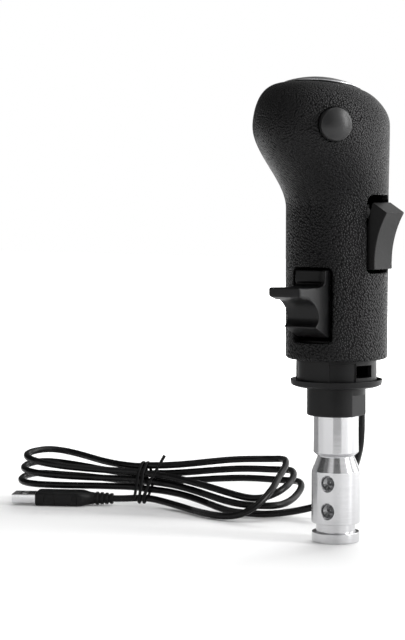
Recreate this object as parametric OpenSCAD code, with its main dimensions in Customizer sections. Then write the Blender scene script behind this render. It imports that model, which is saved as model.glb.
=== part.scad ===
// Truck style gear shift knob on a clamp shank: a grained grip with a domed cap, a range lever,
// a splitter rocker and a thumb button, and a USB lead tied in a hank.
// Millimetres. +Z runs up the shank, -Y is the front, +X is the side with the rocker.
// The origin is the centre of the shank's bore at the foot.

/* [Fits] */
// Gap between pieces that slip together
slip = 0.15; // [0.1:0.05:0.2]
// Radial clearance of a piece that turns on its pin
run_gap = 0.05; // [0.03:0.01:0.08]
// Gap round a piece that moves in an opening
move_gap = 0.4; // [0.3:0.1:0.6]

/* [Shank] */
// Radius of the foot
foot_r = 10.8; // [9.8:0.1:12]
// Height of the foot
foot_h = 4.5; // [3:0.1:8]
// Radius of the groove above the foot
groove_r = 8.9; // [8.4:0.1:9.4]
// Height of the groove
groove_h = 4.1; // [2:0.1:8]
// Radius of the clamp body
body_r = 11; // [10:0.1:12]
// Height of the clamp body
body_h = 23.6; // [20:0.1:36]
// Height of the cone above the body
cone_h = 6.8; // [5:0.1:10]
// Radius of the waist
waist_r = 8.3; // [7.8:0.1:9]
// Height of the bevel above the waist
bevel_h = 1.8; // [1:0.1:3]
// Radius of the spigot
spigot_r = 10.3; // [9.6:0.1:10.6]
// Height of spigot that shows under the collar
spigot_h = 16.8; // [14:0.1:30]
// Radius of the bore that takes the shifter's lever
bore_r = 6.2; // [5:0.1:6.8]
// Depth of the bore
bore_depth = 36; // [30:0.5:37]
// Radius of the threaded stud on top
stud_r = 6; // [5:0.25:6.5]
// Radius of the clamping grub screws
grub_r = 2.9; // [2:0.1:3]
// Length of a grub screw
grub_l = 2.2; // [2:0.1:3.4]
// Distance between the two grub screws
grub_step = 12.5; // [9:0.5:15]
// Height of the lower grub screw above the body's lower edge
grub_rise = 6.2; // [5:0.1:7]
// Turn of the grub screws from the front
grub_turn = 10; // [0:1:40]

/* [Collar and sleeve] */
// Radius of the lock collar
collar_r = 13.3; // [12.9:0.1:15]
// Height of the lock collar
collar_h = 13; // [10:0.1:18]
// Distance across the wrench flats
flat_across = 23.8; // [23:0.1:25]
// Height of the wrench flats
flat_h = 9.6; // [6:0.1:10]
// Wall of the core sleeve
sleeve_wall = 2; // [1.6:0.1:2.2]
// Height of the core sleeve
sleeve_h = 18.9; // [18.6:0.1:22]
// Thickness of the sleeve's base
base_t = 3; // [2:0.1:4]
// Height of the sleeve that shows under the grip
sleeve_show = 12.7; // [11:0.1:13]
// Width of a sleeve window
window_w = 9.5; // [6:0.1:11]
// Height of a sleeve window
window_h = 5.5; // [4:0.1:6]
// Depth of a sleeve panel
panel_depth = 0.6; // [0.3:0.1:0.8]
// Height of the gaiter ring
ring_h = 3.3; // [2.8:0.1:4.8]
// Reach of the gaiter ring from the sleeve
ring_reach = 2.6; // [2:0.1:3.5]
// Width of the shank nut across its flats
nut_across = 18; // [16:0.5:18.5]
// Height of the shank nut
nut_h = 8; // [6:0.5:8]
// Thickness of the shank washer
washer_t = 1.5; // [1:0.1:2]

/* [Grip] */
// Radius of the grip's column
grip_r = 23; // [22.5:0.1:25]
// Wall of the grip shells
grip_wall = 2.6; // [2:0.1:2.8]
// Round on the grip's bottom edge
edge_r = 1.5; // [0.8:0.1:2.4]
// Width of the lip at the grip's foot
lip_w = 4.65; // [4.4:0.05:5]
// Height of that lip
lip_h = 3.6; // [3:0.1:4]
// Height of the straight column
column_h = 67.5; // [66:0.5:80]
// Height of the neck from the column to the head
neck_h = 36; // [32:0.5:46]
// Height of the crown above the head's widest level
crown_h = 16.2; // [13:0.1:21]
// Half length of the head, front to back
head_long = 35; // [33:0.5:38]
// Half width of the head
head_wide = 28.4; // [27:0.1:31]
// Lean of the head to the front
head_lean = 13.7; // [12:0.1:16]
// Radius of the seat for the cap
seat_r = 17.6; // [17:0.1:20]
// Fall of the crown to the rear
crown_tilt = 9; // [6:0.1:11]
// Gap between the two grip shells
seam = 0.1; // [0.06:0.02:0.2]

/* [Cap] */
// Width of the ledge that the cap ring rests on
cap_ledge = 1.9; // [1.6:0.1:2.4]
// Thickness of the cap ring
cap_t = 1; // [0.8:0.1:1.6]
// Depth of the cap ring's spigot
cap_spigot = 4; // [3:0.1:5]
// Rise of the cap plate's dome
cap_dome = 4; // [2.5:0.1:5]

/* [Range lever] */
// Height of the lever's pivot above the grip's foot
lever_rise = 24.7; // [24:0.1:34]
// Depth of the lever's pivot behind the grip's front
lever_inset = 8; // [7.5:0.1:9]
// Width of the lever
lever_w = 16.4; // [15:0.1:18]
// Reach of the finger tab from the grip
tab_reach = 21.6; // [18:0.1:26]
// Thickness of the tab's tip
tab_t = 4.1; // [3:0.1:5]
// Height of the lever's plate above the pivot
plate_up = 15.2; // [14:0.1:16]
// Depth of the lever's skirt below the pivot
skirt_down = 14.2; // [13:0.1:14.6]
// Radius of the finger scoop under the tab
scoop_r = 10.4; // [9:0.1:12]
// Radius of the small scoop below it
small_scoop_r = 3.9; // [3:0.1:4.4]
// Swing of the lever
lever_swing = 9; // [6:0.5:9]

/* [Rocker] */
// Height of the rocker's pivot above the grip's foot
rocker_rise = 56.1; // [52:0.1:60]
// Depth of the rocker's pivot behind the grip's side
rocker_inset = 8.5; // [8:0.1:9.5]
// Width of the rocker
rocker_w = 16.4; // [15.6:0.1:17]
// Length of the rocker's face
rocker_l = 25.8; // [23:0.1:26.5]
// Reach of the rocker's face from its pivot
rocker_reach = 12.85; // [12:0.05:14]
// Hollow of the rocker's face
rocker_hollow = 2; // [1:0.1:2.6]
// Tilt of the rocker to each side
rocker_tilt = 13.5; // [8:0.5:13.5]

/* [Thumb button] */
// Turn of the button from the front
button_turn = 54; // [45:1:65]
// Radius of the button
button_r = 7.1; // [6:0.1:7.4]
// Height of the button's rim above the grip
button_out = 2.6; // [1.9:0.1:3.3]
// Rise of the button's dome
button_dome = 0.9; // [0.5:0.1:1.4]
// Travel of the button
button_travel = 1.6; // [1:0.1:1.8]

/* [Insides] */
// Radius of the hinge pins
pin_r = 1.5; // [1.2:0.1:1.6]
// Thickness of the core frame's deck
deck_t = 2.5; // [2:0.1:3]
// Thickness of the core frame's spine
spine_t = 3; // [2.5:0.1:3.4]
// Height of the core frame's spine
spine_h = 68; // [64:1:72]
// Width of the main board
board_w = 26; // [24:0.5:27]
// Height of the main board
board_h = 46; // [44:0.5:48]
// Thickness of the circuit boards
board_t = 1.6; // [1.2:0.1:2]
// Thickness of the cradles' plates
plate_t = 1.5; // [1.2:0.1:1.8]
// Radius of the small screws' shafts
screw_r = 1; // [0.8:0.05:1.1]

/* [Cable] */
// Radius of the cable
cable_r = 1.7; // [1.5:0.05:1.8]
// Loops in the hank
loops = 3; // [3:1:3]
// Length of the plug's moulded body
plug_l = 28; // [24:0.5:30]
// Width of the plug's moulded body
plug_w = 14; // [13:0.5:14.5]
// Height of the plug's moulded body
plug_h = 7; // [6.6:0.1:7.2]
// Length of the plug's ribbed relief
relief_l = 11; // [8:0.5:12]
// Length of the plug's metal shell
plug_shell_l = 12; // [11:0.5:13]

/* [Hidden] */
$fn = 64;
steel = [0.62, 0.63, 0.65];
black = [0.09, 0.09, 0.1];
dark_grey = [0.2, 0.2, 0.21];

// Levels up the shank
z_groove = foot_h;
z_body = z_groove + groove_h;
z_cone = z_body + body_h;
z_waist = z_cone + cone_h;
z_spigot = z_waist + bevel_h;
z_collar = z_spigot + spigot_h;
z_base = z_collar + collar_h;
z_floor = z_base + base_t;
z_nut = z_floor + washer_t;
stud_show = 3;
z_stud = z_nut + nut_h + stud_show;
grub_hole = grub_r + 0.05;
sink = 0.6;

// Sleeve and grip
z_deck = z_base + sleeve_h;
z_spine = z_deck + deck_t;
z_grip = z_base + sleeve_show;
z_lip = z_grip + lip_h;
lip_r = grip_r - lip_w;
sleeve_r = lip_r - slip;
grip_in = grip_r - grip_wall;
z_neck = z_grip + column_h;
z_head = z_neck + neck_h;
z_top = z_head + crown_h;
cap_hole = seat_r - cap_ledge;
rib_reach = 1.2;
rib_h = 1.5;

// Cable passage
cable_turn = 33;
cable_ring = spigot_r + slip + cable_r + 0.6;
cable_x = cable_ring * sin(cable_turn);
cable_y = cable_ring * cos(cable_turn);
cable_hole = cable_r + 0.2;

// Core frame
hub_r = 3.6;
hub_gap = 0.4;
rocker_x = grip_r - rocker_inset;
z_rocker = z_grip + rocker_rise;
rocker_plate = rocker_x - hub_r - hub_gap;
spine_w = 2 * (rocker_plate - plate_t);
spine_y = 4;
spine_back = spine_y + spine_t;
standoff_h = 4;
standoff_r = 2.5;
board_y = spine_back + standoff_h;
board_z = z_spine + 4;
chip_w = 10;
chip_t = 1.2;
chip_rise = 14;
screw_x = 6;
screw_margin = 3.5;
screw_zs = [board_z + screw_margin, board_z + board_h - screw_margin];
screw_hole = screw_r + 0.05;
screw_head_r = 1.9;
screw_head_h = 1.2;

// Range lever
lever_y = -(grip_r - lever_inset);
z_lever = z_grip + lever_rise;
lever_back = -grip_r + 4;
lever_hub_r = 3.8;
lever_hub_w = 11.6;
ear_gap = 0.2;
ear_t = 2;
ear_r = 3;
tail_h = 4.2;
tail_w = 6;
ball_r = 1.25;
ball_gap = 0.35;
cradle_y = spine_y - plate_t;
ball_y = cradle_y - ball_gap - ball_r;
tail_end = ball_y - 0.3;
slot_side = 1.95;
slot_up = 1.6;
slot_down = 2.4;
slot_r = 2.5;
switch_h = 5.4;
switch_w = 5.8;
switch_l = 11.8;
cradle_down = 12;
cradle_up = 10;
floor_l = 12.5;

// Rocker
rocker_in = 4.6;
rocker_flare = 2.3;
rocker_slot_side = 1.2;
rocker_slot_end = 2;
press_z = 10;

// Thumb button
button_k = sqrt(pow(head_wide * sin(button_turn), 2) + pow(head_long * cos(button_turn), 2));
button_x = pow(head_wide, 2) * sin(button_turn) / button_k;
button_y = -head_lean - pow(head_long, 2) * cos(button_turn) / button_k;
button_bore = button_r + 0.3;
boss_r = button_bore + 1.6;
boss_top = -3.4;
boss_end = -8;
flange_t = 1.2;
flange_r = button_r + 1.5;
flange_top = boss_end - move_gap;
button_back = flange_top - flange_t;
cup_in = boss_r + 0.3;
cup_wall = 1.2;
cup_lap = 0.8;
cup_floor_t = 1.5;
press_h = button_travel + 0.3;
tact_h = 3.6;
tact_w = 6;
button_board_top = button_back - press_h - tact_h;
cup_floor = button_board_top - board_t;
spring_r = 5.8;
spring_wire = 0.25;

// Cable hank: its waist, the turn of its long axis and the shape of its lobes
hank_x = -132;
hank_y = 33;
hank_z = 13.4;
hank_yaw = 17;
hank_bend = 16;
hank_pitch = 4.35;
hank_start = 0.13;
hank_long = [79, 68];
hank_shrink = 0.045;
hank_waist = 2.4;
hank_fan = [0.35, 0.6];
hank_rise = 3;
hank_lean = 108;
// Opening of the strands: front right, back right, front left, back left
hank_open = [54, 38, 34, 34];
hank_drop = [17, 9, 2, -2];
hank_turn = [-78, -10, -10, -20];
hank_end_drop = [20, 2];
loop_rings = 24;
loop_sides = 6;
tube_sides = 8;

// Route of the lead, from the collar to the hank
lead_points = [
    [6, 11.5, 43.5], [3, 14.5, 37], [-2, 19.5, 30.5], [-8, 26, 24], [-15, 33.5, 17.5],
    [-23, 40, 12], [-32, 43.5, 8], [-40.5, 43, 5], [-47.5, 39.5, 3.2], [-53.5, 34.5, 2.3],
    [-59.5, 30, 2]
];
// Route of the tail, from the hank to the plug
tail_points = [
    [-57, 40.5, 18.5], [-55.5, 33, 14.5], [-56, 25.5, 10], [-58.5, 19, 6], [-64.5, 15, 3],
    [-73.5, 14, 2], [-83.5, 16, 2], [-94, 20, 2], [-99.7, 22.2, 2.2], [-105.5, 24, 2.5],
    [-117.5, 26.8, 3.3], [-127, 26.3, 4]
];
// The tail where it passes the hank's waist: distance across, height, and drift along the waist
tail_waist = [-8.35, 3.95];
tail_drift = 0.18;
plug_x = -141.8;
plug_y = 18.5;
plug_yaw = 208.3;
plug_axis = [cos(plug_yaw), sin(plug_yaw), 0];
plug_start = [plug_x, plug_y, plug_h / 2];
plug_straight = 4;
shell_w = 12;
shell_h = 4.5;
shell_wall = 0.3;
tie_r = 0.8;
tie_gap = 0.65;
wire_r = 0.6;
wire_gap = 0.1;

// Small helpers
function smooth(t) = t <= 0 ? 0 : t >= 1 ? 1 : t * t * (3 - 2 * t);
function mix(a, b, t) = a + (b - a) * t;
function unit(v) = v / norm(v);
function arc(c, r, from, to, n) = [for (i = [0:n]) let (a = mix(from, to, i / n)) c + r * [cos(a), sin(a)]];
function flip(list) = [for (i = [len(list) - 1:-1:0]) list[i]];

// Points along a curve that passes through every point of a list
function curve(p, n) = [
    for (i = [0:len(p) - 2]) for (k = [0:(i == len(p) - 2 ? n : n - 1)])
        let (t = k / n, a = i == 0 ? 2 * p[0] - p[1] : p[i - 1], b = p[i], c = p[i + 1],
             d = i == len(p) - 2 ? 2 * p[i + 1] - p[i] : p[i + 2])
        0.5 * (2 * b + (c - a) * t + (2 * a - 5 * b + 4 * c - d) * t * t
               + (3 * b - a - 3 * c + d) * t * t * t)
];

// Direction of travel at each point of a path
function headings(p) = let (n = len(p) - 1)
    [for (i = [0:n]) unit(p[min(i + 1, n)] - p[max(i - 1, 0)])];

// Side direction at each point, carried along the path without twisting
function sides_of(h) = [
    for (i = 0, s = unit(cross(h[0], abs(h[0][2]) > 0.9 ? [1, 0, 0] : [0, 0, 1])); i < len(h);
         i = i + 1, s = i < len(h) ? unit(s - (s * h[i]) * h[i]) : s) s
];

// A round tube along a path, square to the given directions at its ends
module tube(path, r, m, first = undef, last = undef) {
    run = headings(path);
    h = [for (i = [0:len(path) - 1]) i == 0 && first != undef ? first
        : i == len(path) - 1 && last != undef ? last : run[i]];
    s = sides_of(h);
    n = len(path) - 1;
    points = [for (i = [0:n]) for (k = [0:m - 1])
        path[i] + r * (cos(360 * k / m) * s[i] + sin(360 * k / m) * cross(h[i], s[i]))];
    walls = [for (i = [0:n - 1]) for (k = [0:m - 1]) let (a = i * m + k, b = i * m + (k + 1) % m)
        each [[a, b + m, b], [a, a + m, b + m]]];
    start = [for (k = [1:m - 2]) [0, k, k + 1]];
    end = [for (k = [1:m - 2]) [n * m, n * m + k + 1, n * m + k]];
    polyhedron(points, concat(walls, start, end));
}

// A rounded rectangle centred on the origin
module round_rect(w, h, r) {
    square([w - 2 * r, h], center = true);
    square([w, h - 2 * r], center = true);
    for (x = [-1, 1], y = [-1, 1])
        translate([x * (w / 2 - r), y * (h / 2 - r)]) circle(r);
}

// Frames of the two hinge pins: along X at the lever, along Y at the rocker
module lever_frame() {
    translate([0, lever_y, z_lever]) children();
}

module rocker_frame(tilt) {
    translate([rocker_x, 0, z_rocker]) rotate([0, tilt, 0]) children();
}

// The thumb button's frame: +Z out of the grip
module button_frame() {
    translate([button_x, button_y, z_head]) rotate([0, 0, button_turn - 90]) rotate([0, 90, 0]) children();
}

// The cap's frame: +Z square to the crown's seat
module cap_frame() {
    translate([0, -head_lean, z_top]) rotate([-crown_tilt, 0, 0]) children();
}

module tube_ring(r_out, r_in, z0, z1) {
    rotate_extrude() polygon([[r_in, z0], [r_out, z0], [r_out, z1], [r_in, z1]]);
}

// Turned aluminium shank: foot, groove, clamp body, cone, waist, spigot and stud
module shank() {
    color("silver") difference() {
        rotate_extrude() polygon([
            [0, bore_depth], [bore_r, bore_depth], [bore_r, 0], [foot_r, 0], [foot_r, z_groove],
            [groove_r, z_groove], [groove_r, z_body], [body_r, z_body], [body_r, z_cone],
            [waist_r, z_waist], [spigot_r, z_spigot], [spigot_r, z_base], [stud_r, z_base],
            [stud_r, z_stud], [0, z_stud]
        ]);
        grub_places() {
            translate([0, 0, bore_r - 1]) cylinder(r = grub_hole, h = body_r);
            translate([0, 0, body_r - sink]) cylinder(r1 = grub_hole, r2 = grub_hole + 2 * sink, h = 2 * sink);
        }
    }
}

module grub_places() {
    for (i = [0, 1])
        translate([0, 0, z_body + grub_rise + i * grub_step])
            rotate([0, 0, grub_turn]) rotate([90, 0, 0]) children();
}

// Two grub screws with hexagon sockets, set below the shank's surface
module grub_screws() {
    socket_r = 0.55 * grub_r;
    socket_depth = 0.5 * grub_l;
    color(steel) grub_places() translate([0, 0, bore_r + 0.4]) difference() {
        cylinder(r = grub_r, h = grub_l);
        translate([0, 0, grub_l - socket_depth]) cylinder(r = socket_r, h = grub_l, $fn = 6);
    }
}

// Collar with two wrench flats and a notch for the cable
module lock_collar() {
    chamfer = 0.5;
    color(black) difference() {
        rotate_extrude() polygon([
            [spigot_r + slip, z_collar], [collar_r - chamfer, z_collar], [collar_r, z_collar + chamfer],
            [collar_r, z_base], [spigot_r + slip, z_base]
        ]);
        for (side = [-1, 1])
            translate([side * (flat_across / 2 + collar_r), 0, z_collar])
                cube([2 * collar_r, 3 * collar_r, 2 * flat_h], center = true);
        translate([cable_x, cable_y, z_collar - 1]) cylinder(r = cable_hole, h = collar_h + 2);
    }
}

// Thin flared ring that a gaiter clips to
module gaiter_ring() {
    inner = sleeve_r + slip;
    outer = sleeve_r + ring_reach;
    lip = 0.6;
    web = 1.4;
    edge_h = 2.4;
    color(black) rotate_extrude() polygon([
        [inner, z_base], [outer - 0.4, z_base + ring_h - edge_h], [outer, z_base + ring_h],
        [outer - lip, z_base + ring_h], [outer - lip - 0.4, z_base + web + 0.6], [inner, z_base + web]
    ]);
}

// Cup shaped sleeve that carries the grip, with windows and shallow panels
module core_sleeve() {
    inner = sleeve_r - sleeve_wall;
    window_turn = 75;
    panel_turn = 40;
    panel_half = 19;
    panel_h = sleeve_show - 1.3;
    color(black) difference() {
        union() {
            tube_ring(sleeve_r, inner, z_base, z_deck);
            tube_ring(inner + 0.5, stud_r + slip, z_base, z_floor);
            tube_ring(sleeve_r + rib_reach, sleeve_r - 0.5, z_lip + slip, z_lip + slip + rib_h);
        }
        for (side = [-1, 1]) {
            rotate([0, 0, side * window_turn])
                translate([0, -sleeve_r, z_floor + 1.9 + window_h / 2])
                    cube([window_w, 4 * sleeve_wall, window_h], center = true);
            rotate([0, 0, side * panel_turn - 90 - panel_half])
                translate([0, 0, z_base + ring_h])
                    rotate_extrude(angle = 2 * panel_half)
                        translate([sleeve_r - panel_depth, 0]) square([2, panel_h - ring_h]);
        }
        translate([cable_x, cable_y, z_base - 1]) cylinder(r = cable_hole, h = base_t + 2);
    }
}

module shank_washer() {
    color(steel) tube_ring(nut_across / 2 + 1.4, stud_r + slip, z_floor, z_nut);
}

module shank_nut() {
    color(steel) translate([0, 0, z_nut]) difference() {
        cylinder(r = nut_across / sqrt(3), h = nut_h, $fn = 6);
        translate([0, 0, -1]) cylinder(r = stud_r + 0.05, h = nut_h + 2);
    }
}

// Block that grips the cable on the sleeve's base
module cable_clamp() {
    clamp_w = 7;
    clamp_h = 6.4;
    from_axis = cable_ring - cable_hole - 0.15;
    to_axis = sleeve_r - sleeve_wall - 0.6;
    color(dark_grey) difference() {
        rotate([0, 0, 90 - cable_turn]) translate([from_axis, -clamp_w / 2, z_floor])
            cube([to_axis - from_axis, clamp_w, clamp_h]);
        translate([cable_x, cable_y, z_floor - 1]) cylinder(r = cable_r + 0.05, h = clamp_h + 2);
    }
}

module board_screw_places() {
    for (x = [-screw_x, screw_x], z = screw_zs)
        translate([x, 0, z]) rotate([-90, 0, 0]) children();
}

// Places of the cradle screws: two in the lever cradle, two in the rocker cradle
module cradle_screw_places() {
    for (x = [-1, 1])
        translate([x * 5.5, cradle_y, z_lever + 6.6]) rotate([-90, 0, 0]) children();
    for (z = [-1, 1])
        translate([rocker_plate, spine_y + spine_t / 2, z_rocker + z * press_z]) rotate([0, -90, 0]) children();
}

// Deck on the sleeve and upright spine that carries the boards and cradles
module core_frame() {
    color(dark_grey) difference() {
        union() {
            translate([0, 0, z_deck]) cylinder(r = sleeve_r, h = deck_t);
            translate([-spine_w / 2, spine_y, z_spine - 0.5]) cube([spine_w, spine_t, spine_h + 0.5]);
            board_screw_places() translate([0, 0, spine_back - 0.5])
                cylinder(r = standoff_r, h = standoff_h + 0.5);
        }
        translate([cable_x, cable_y, z_deck - 1]) cylinder(r = cable_hole, h = deck_t + 2);
        board_screw_places() translate([0, 0, spine_y + 0.6])
            cylinder(r = screw_hole, h = spine_t + standoff_h);
        cradle_screw_places() cylinder(r = screw_hole, h = plate_t + 2.6);
    }
}

module main_board() {
    color([0.05, 0.3, 0.16]) difference() {
        translate([-board_w / 2, board_y, board_z]) cube([board_w, board_t, board_h]);
        board_screw_places() translate([0, 0, board_y - 1]) cylinder(r = screw_hole, h = board_t + 2);
    }
}

module controller_chip() {
    color(black) translate([-chip_w / 2, board_y + board_t, board_z + chip_rise])
        cube([chip_w, chip_t, chip_w]);
}

// Crystal, capacitors and the wire header on the back of the board
module board_parts() {
    back = board_y + board_t;
    gap = 1;
    crystal = [3.2, 1.4, 8];
    capacitor = [1.2, 0.9, 2];
    header = [9, 3, 3.6];
    color(steel) {
        translate([-chip_w / 2 - gap - crystal[0], back, board_z + chip_rise]) cube(crystal);
        for (i = [0, 1], k = [0, 1])
            translate([chip_w / 2 + gap + 2 * i * capacitor[0], back, board_z + chip_rise + 2 * k * capacitor[2]])
                cube(capacitor);
        translate([-header[0] / 2, back, board_z + chip_rise - gap - header[2]]) cube(header);
    }
}

module board_screws() {
    color(steel) board_screw_places() {
        translate([0, 0, spine_y + 1]) cylinder(r = screw_r, h = board_y + board_t - spine_y - 0.8);
        translate([0, 0, board_y + board_t]) cylinder(r = screw_head_r, h = screw_head_h);
    }
}

// Outline of the grip at a height: half length, half width, lean and height
function grip_ring(z, inset) = let (s = smooth((z - z_neck) / neck_h))
    [mix(grip_r, head_long, s) - inset, mix(grip_r, head_wide, s) - inset, head_lean * s, z];

// Outline of the crown: a quarter ellipse from the head to the cap's seat
function crown_ring(a, b, rim, rise, angle) =
    [mix(rim, a, cos(angle)), mix(rim, b, cos(angle)), head_lean, z_head + rise * sin(angle)];

// Pairs of outer and inner outlines from the grip's foot to the cap's seat
neck_steps = 11;
crown_steps = 9;
grip_levels = concat(
    [for (i = [0:2]) let (a = 45 * i, z = z_grip + edge_r * (1 - cos(a)), r = grip_r - edge_r * (1 - sin(a)))
        [[r, r, 0, z], [lip_r, lip_r, 0, z_grip + i * edge_r / 2]]],
    [[grip_ring(z_lip, 0), [lip_r, lip_r, 0, z_lip]]],
    [[grip_ring(z_lip + rib_h, 0), grip_ring(z_lip + 0.1, grip_wall)]],
    [for (z = [mix(z_lip, z_neck, 0.33), mix(z_lip, z_neck, 0.67)])
        [grip_ring(z, 0), grip_ring(z, grip_wall)]],
    [for (i = [0:neck_steps]) let (z = mix(z_neck, z_head, i / neck_steps))
        [grip_ring(z, 0), grip_ring(z, grip_wall)]],
    [for (i = [1:crown_steps]) let (inner = 90 * min(i / (crown_steps - 1), 1))
        [crown_ring(head_long, head_wide, seat_r, crown_h, 90 * i / crown_steps),
         i == crown_steps ? [cap_hole, cap_hole, head_lean, z_top]
         : crown_ring(head_long - grip_wall, head_wide - grip_wall, cap_hole, crown_h - grip_wall, inner)]]
);

// One point of an outline, kept off the seam and tilted with the crown
function grip_point(ring, turn) =
    let (x = max(ring[1] * cos(turn), seam / 2), y = ring[0] * sin(turn) - ring[2],
         tilt = smooth((ring[3] - z_head) / crown_h))
    [x, y, ring[3] - tan(crown_tilt) * (y + head_lean) * tilt];

// Half of the hollow grip, on the +X side of the seam
module half_grip() {
    n = 24;
    m = 2 * (n + 1);
    top = len(grip_levels) - 1;
    turns = [for (j = [0:n]) -90 + 180 * j / n];
    points = [for (level = grip_levels) each concat(
        [for (turn = turns) grip_point(level[0], turn)],
        [for (turn = flip(turns)) grip_point(level[1], turn)])];
    walls = [for (i = [0:top - 1]) for (k = [0:m - 1]) let (a = i * m + k, b = i * m + (k + 1) % m)
        each [[a, b + m, b], [a, a + m, b + m]]];
    foot = [for (j = [0:n - 1]) let (a = m - 1 - j) each [[j, j + 1, a - 1], [j, a - 1, a]]];
    ledge = [for (j = [0:n - 1]) let (o = top * m, a = m - 1 - j)
        each [[o + j, o + a - 1, o + j + 1], [o + j, o + a, o + a - 1]]];
    polyhedron(points, concat(walls, foot, ledge));
}

// Opening in the grip's front for the range lever
module lever_slot() {
    low = z_lever - skirt_down - slot_down;
    high = z_lever + plate_up + slot_up;
    translate([0, -grip_r + lever_inset, (low + high) / 2]) rotate([90, 0, 0])
        linear_extrude(2 * grip_r) round_rect(lever_w + 2 * slot_side, high - low, slot_r);
}

// Opening in the grip's left side for the rocker
module rocker_slot() {
    length = rocker_l + 2 * rocker_flare + 2 * rocker_slot_end;
    translate([rocker_x, 0, z_rocker]) rotate([90, 0, 90])
        linear_extrude(2 * grip_r) round_rect(rocker_w + 2 * rocker_slot_side, length, slot_r);
}

module grip_shell_left() {
    color(black) difference() {
        union() {
            half_grip();
            button_frame() tube_ring(boss_r, button_bore - 1, boss_end, boss_top);
        }
        lever_slot();
        rocker_slot();
        button_frame() translate([0, 0, boss_end - 5]) cylinder(r = button_bore, h = 20);
    }
}

module grip_shell_right() {
    color(black) difference() {
        mirror([1, 0, 0]) half_grip();
        lever_slot();
    }
}

// Thin ring that seats the cap in the crown
module cap_ring() {
    wall = 1.8;
    spigot = cap_hole - 0.5;
    color(dark_grey) cap_frame() translate([0, 0, 0.05]) rotate_extrude() polygon([
        [spigot - wall, -cap_spigot], [spigot, -cap_spigot], [spigot, 0], [seat_r - 0.1, 0],
        [seat_r - 0.1, cap_t], [spigot - wall, cap_t]
    ]);
}

// Domed plate on the cap ring
module cap_plate() {
    edge = 0.4;
    r = seat_r - 0.4;
    rise = cap_dome - edge;
    dome_r = (r * r + rise * rise) / (2 * rise);
    half = asin(r / dome_r);
    color("silver") cap_frame() translate([0, 0, 0.05 + cap_t]) rotate_extrude()
        polygon(concat([[0, 0], [r, 0]], arc([0, cap_dome - dome_r], dome_r, 90 - half, 90, 10)));
}

// Side outline of the range lever about its pivot, front to the left
function lever_side() =
    let (face = -grip_r - lever_y, back = lever_back - lever_y, tip = face - tab_reach,
         tab_top = 8.9, tab_low = tab_top - tab_t,
         c1 = [tip + 5.9, tab_low - 1.5 - scoop_r], cusp = c1 + scoop_r * [cos(12), sin(12)],
         c2 = cusp - [small_scoop_r, 0], lip = c2 + small_scoop_r * [cos(-70), sin(-70)])
    concat(
        [[back, plate_up], [face + 0.8, plate_up], [face, tab_top + 1.6], [face - 1.5, tab_top + 0.2],
         [face - 6.7, tab_top - 0.6], [tip, tab_top], [tip, tab_low]],
        arc(c1, scoop_r, 95, 12, 10), arc(c2, small_scoop_r, -10, -70, 4),
        [lip + [-0.2, -0.5], [face + 3, -skirt_down], [back, -skirt_down]]
    );

// Finger lift lever: front body with tab and scoops, hub and detent tail
module range_lever() {
    tail_l = tail_end - lever_y;
    color(black) lever_frame() difference() {
        union() {
            rotate([90, 0, 90]) translate([0, 0, -lever_w / 2]) linear_extrude(lever_w) polygon(lever_side());
            rotate([0, 90, 0]) cylinder(r = lever_hub_r, h = lever_hub_w, center = true);
            translate([-lever_hub_w / 2, lever_back - lever_y - 1, -lever_hub_r])
                cube([lever_hub_w, lever_y - lever_back + 1, 2 * lever_hub_r]);
            translate([-tail_w / 2, 0, -tail_h / 2]) cube([tail_w, tail_l, tail_h]);
        }
        rotate([0, 90, 0]) cylinder(r = pin_r + run_gap, h = 2 * lever_w, center = true);
        translate([0, lever_hub_r + 1.2, 0]) rotate([-90, 0, 0]) cylinder(r = ball_r + 0.1, h = tail_l);
    }
}

module lever_pin() {
    length = lever_hub_w + 2 * (ear_gap + ear_t);
    color(steel) lever_frame() rotate([0, 90, 0]) cylinder(r = pin_r, h = length, center = true);
}

// Bracket on the spine that holds the lever's pin and the range switch
module lever_cradle() {
    ear_x = lever_hub_w / 2 + ear_gap;
    half = ear_x + ear_t;
    low = z_lever - cradle_down;
    color(dark_grey) difference() {
        union() {
            translate([-half, cradle_y, low]) cube([2 * half, plate_t, cradle_down + cradle_up]);
            translate([-half, cradle_y - floor_l, low]) cube([2 * half, floor_l + 0.5, plate_t]);
            for (x = [-half, ear_x]) translate([x, 0, 0]) {
                translate([0, lever_y, z_lever - ear_r]) cube([ear_t, cradle_y - lever_y + 0.5, 2 * ear_r]);
                translate([0, lever_y, z_lever]) rotate([0, 90, 0]) cylinder(r = ear_r, h = ear_t);
            }
        }
        lever_frame() rotate([0, 90, 0]) cylinder(r = pin_r + 0.02, h = 3 * half, center = true);
        cradle_screw_places() translate([0, 0, -1]) cylinder(r = screw_hole, h = plate_t + 2);
    }
}

module detent_ball() {
    color(steel) translate([0, ball_y, z_lever]) sphere(ball_r);
}

// Points of a helical spring along +Z, with its ends closed in
function coil(r, height, turns, rings) = [for (i = [0:turns * rings])
    let (a = 360 * i / rings) [r * cos(a), r * sin(a), height * i / (turns * rings)]];

module detent_spring() {
    wire = 0.2;
    start = lever_y + lever_hub_r + 1.2 + wire + 0.05;
    height = ball_y - ball_r - start - wire - 0.05;
    color(steel) translate([0, start, z_lever]) rotate([-90, 0, 0])
        tube(coil(ball_r - wire - 0.15, height, 5, 8), wire, 6);
}

// Snap switch under the lever's tail
module range_switch() {
    floor_z = z_lever - cradle_down + plate_t;
    color([0.25, 0.2, 0.15]) {
        translate([-switch_w / 2, cradle_y - 0.5 - switch_l, floor_z]) cube([switch_w, switch_l, switch_h]);
        translate([0, lever_y + 8, floor_z]) cylinder(r = 1, h = switch_h + 1.3);
    }
}

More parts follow.
